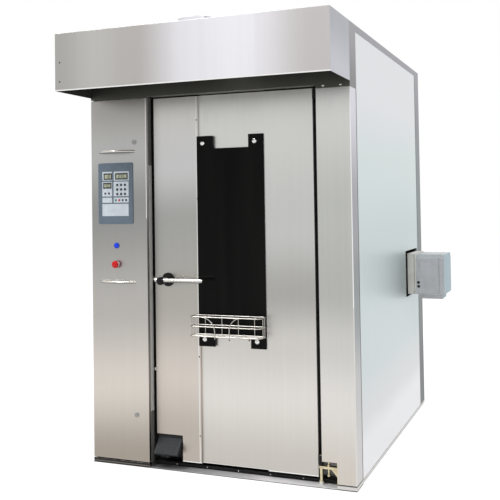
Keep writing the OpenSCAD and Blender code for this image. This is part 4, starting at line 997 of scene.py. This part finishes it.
def display_film():
    """A grey-green liquid crystal window with its faint lines of pixels, inside a dark rim."""
    material, tree, shader = new_finish("display", Roughness=0.25)
    lines = noise(tree, scaled(tree, own_place(tree), PIXELS), detail=0)
    shade = tone(44, 47, 46)
    for left, low, right, high, _ in WINDOWS:
        glass = inside_of(tree, at(left + RIM, -9, low + RIM), at(right - RIM, 0, high - RIM))
        shade = blend_tones(tree, glass, shade, tone(158, 163, 138))
    shade = lit(tree, shade, ramp(tree, lines, NOISE_LOW, NOISE_HIGH, 0.94, 1.04))
    feed_all(tree, shader, Base_Color=shade, Roughness=ramp(tree, lines, NOISE_LOW, NOISE_HIGH, 0.2, 0.3))
    return material


dress(display_film(), "panel_displays")
SURROUND = [(at(left - FRAME, -9, low - FRAME), at(right + FRAME, 0, high + FRAME_TOP), (62, 66, 66))
            for left, low, right, high, _ in WINDOWS]
INSET_FILM = coated("inset film", (184, 191, 197), (208, 214, 219), 0.42, spots=SURROUND, **FLAT)
dress(INSET_FILM, "panel_insets")
print("windows", len(WINDOWS))

# %% [markdown]
# The wool is a tangle of fine fibres, which noise at two scales gives. It is the last node, and
# none should be left without a finish.

# %% Mineral wool
FIBRES, LUMPS = 260.0, 9.0  # in a metre


def wool():
    """Yellow mineral wool, matt and fibrous."""
    material, tree, shader = new_finish("mineral wool", Roughness=0.95)
    fibres = noise(tree, own_place(tree), FIBRES, detail=8, rough=0.8)
    lumps = noise(tree, own_place(tree), LUMPS, detail=3)
    dark = blend_tones(tree, fibres, tone(150, 128, 74), tone(214, 196, 140))
    pale = ramp(tree, lumps, 0.3, 0.8, 0, 0.4)
    feed_all(tree, shader, Base_Color=blend_tones(tree, pale, dark, tone(196, 170, 110)),
             Normal=bumped(tree, fibres, 0.8, 0.004))
    return material


dress(wool(), "insulation")
undressed = [name for name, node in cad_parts.items() if not node.data.materials]
print("nodes without a finish:", undressed)

# %% [markdown]
# ## Screws, plugs and digits
# The last things are small enough to model one by one. Every head is turned: rings of corners stacked
# along an axis, where a ring may be a hexagon.

# %% Turned heads
CORNERS = 12
FLAT_OF_HEX = math.cos(math.pi / 6)
# rings are (radius, height, is it a hexagon), as shares of the head's own radius
DOME = [(1, -0.1, 0), (1, 0.12, 0), (0.9, 0.34, 0), (0.66, 0.5, 0), (0.46, 0.54, 1), (0.42, 0.3, 1)]
HEXAGON = [(1.3, -0.05, 0), (1.3, 0.14, 0), (0.98, 0.14, 1), (1, 0.24, 1), (1, 0.72, 1), (0.84, 0.82, 1)]
PLUG = [(1, -0.1, 0), (1, 0.1, 0), (0.86, 0.2, 0), (0.5, 0.24, 0)]
BALL = [(0.3, -0.9, 0), (0.75, -0.62, 0), (1, 0, 0), (0.75, 0.62, 0), (0.3, 0.9, 0)]
SUNK = [(1, -0.3, 0), (1, 0.04, 0), (0.55, 0.04, 1), (0.5, -0.1, 1)]


def turned(mesh, place, axis, size, rings):
    """Adds one head of that size in millimetres to a bmesh, standing along the axis."""
    turn = Vector(axis).to_track_quat("Z", "Y").to_matrix()
    loops = []
    for radius, height, hexed in rings:
        loop = []
        for step in range(CORNERS):
            reach = radius * (FLAT_OF_HEX if hexed and step % 2 else 1)
            angle = 2 * math.pi * step / CORNERS
            corner = Vector((reach * math.cos(angle), reach * math.sin(angle), height))
            loop.append(mesh.verts.new(place + turn @ corner * size * MM))
        loops.append(loop)
    for low, high in zip(loops, loops[1:]):
        for step in range(CORNERS):
            after = (step + 1) % CORNERS
            mesh.faces.new((low[step], low[after], high[after], high[step]))
    mesh.faces.new(loops[0][::-1])
    mesh.faces.new(loops[-1])


print("heads have", CORNERS, "corners to a ring")

# %% [markdown]
# All heads of one sort on one body are one mesh, which keeps the scene light. Each mesh rides on the
# body that it is screwed to, so that it moves with it.

# %% Screws, plugs and caps
def piece(name, mesh, body, material):
    """Makes an object of a bmesh, dresses it, and lets it ride on the body."""
    data = bpy.data.meshes.new(name)
    mesh.to_mesh(data)
    mesh.free()
    data.materials.append(material)
    made = placed(name, data)
    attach(made, body)
    return made


def heads(name, body, material, axis, size, rings, places):
    """One object with a head of that sort at every place."""
    mesh = bmesh.new()
    for place in places:
        turned(mesh, at(*place), axis, size, rings)
    return piece(name, mesh, body, material)


BLACK_CAP = coated("black cap", (10, 10, 10), (40, 40, 40), 0.4, shine=0.25)
DARK_SCREW = plain_metal("dark screw", (96, 96, 94), (78, 78, 76), 0.4, patch=60.0)
made = [
    heads("header_screws", "oven", BRIGHT, TO_FRONT, 7, DOME, [(1361, 0, 2012), (1452, 0, 2012)]),
    heads("seam_screws", "door", DARK_SCREW, TO_FRONT, 4, DOME,
          [(DOOR_SEAM, 50, z) for z in (183, 605, 1453, 1879)]),
    heads("sill_screws", "oven", BRIGHT, TO_FRONT, 3.5, DOME,
          [(x, 70, 14) for x in (480, 660, 840, 1020, 1200)]),
    heads("cover_screws", "oven", DARK_SCREW, TO_BACK, 5, SUNK,
          [(x, 1899.5, z) for x in (438, 1062) for z in range(650, 1451, 200)]),
    heads("sight_plugs", "oven", BLACK_CAP, TO_FRONT, 9, PLUG,
          [(1568, 1390, 870), (1568, 1390, 895)]),
    heads("blank_plugs", "oven", COVER_PAINT, TO_FRONT, 8, PLUG,
          [(1576, 1390, 997), (1576, 1390, 1019)]),
    heads("basket_caps", "door", BLACK_CAP, TO_FRONT, 4.5, BALL,
          [(764, -39, 718), (846, -39, 718), (957, -39, 722)]),
]
print("heads:", [thing.name for thing in made])

# %% [markdown]
# The gear motor that turns the rack is held down on the roof by four bolts, one at each corner of
# its foot. Only views from above and from behind show them.

# %% Bolts on the roof
GEARBOX_Y = 759  # the gear motor's middle, from the front
FOOT_REACH, FOOT_HIGH = 92, 10  # from its middle to each bolt, and from the roof to the bolt
roof_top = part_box("roof_motors")[0].z / MM
drive_x = sum(width_of("rack_hanger")) / 2
foot = [(drive_x + side, GEARBOX_Y + end, roof_top + FOOT_HIGH)
        for side in (-FOOT_REACH, FOOT_REACH) for end in (-FOOT_REACH, FOOT_REACH)]
heads("gearbox_bolts", "oven", BRIGHT, UP, 7, HEXAGON, foot)
print("gearbox bolts at", [tuple(round(v) for v in place) for place in foot])

# %% [markdown]
# The display digits are seven bars each, lit or not. The bars stand a tenth of a millimetre proud of
# the window, as printed segments look from an angle.

# %% Digits on the displays
BARS = {"0": "abcdef", "1": "bc", "2": "abged", "3": "abgcd", "4": "fgbc", "5": "afgcd", "8": "abcdefg"}
DIGIT_W, DIGIT_H, BAR = 10.0, 17.0, 2.2  # millimetres
GAP, PROUD = 4, 0.1  # millimetres between digits, and out of the window
# each bar is its place across and up as shares of the digit, and whether it lies or stands
BAR_BOXES = {"a": (0, 1, 1, 0), "b": (1, 0.5, 0, 0.5), "c": (1, 0, 0, 0.5), "d": (0, 0, 1, 0),
             "e": (0, 0, 0, 0.5), "f": (0, 0.5, 0, 0.5), "g": (0, 0.5, 1, 0)}


def add_box(mesh, low, high):
    """Adds a box between two corners in metres to a bmesh."""
    middle, size = (low + high) / 2, high - low
    bmesh.ops.create_cube(mesh, size=1, matrix=Matrix.Translation(middle) @ Matrix.Diagonal((*size, 1)))


mesh = bmesh.new()
face = (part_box("panel_displays")[0].y - FRONT) / MM
for left, low, right, high, text in WINDOWS:
    pitch = DIGIT_W + GAP
    start = (left + right - pitch * len(text) + GAP) / 2
    foot_z = (low + high - DIGIT_H) / 2
    for number, digit in enumerate(text):
        for bar in BARS[digit]:
            across, up, wide, tall = BAR_BOXES[bar]
            x = start + pitch * number + across * (DIGIT_W - BAR)
            z = foot_z + up * (DIGIT_H - BAR)
            add_box(mesh, at(x, face - PROUD, z),
                    at(x + max(BAR, wide * DIGIT_W), face + PROUD, z + max(BAR, tall * DIGIT_H)))
piece("display_digits", mesh, "service_door",
      coated("display ink", (42, 46, 36), (60, 66, 52), 0.4, **FLAT))
print("digits on", len(WINDOWS), "windows")
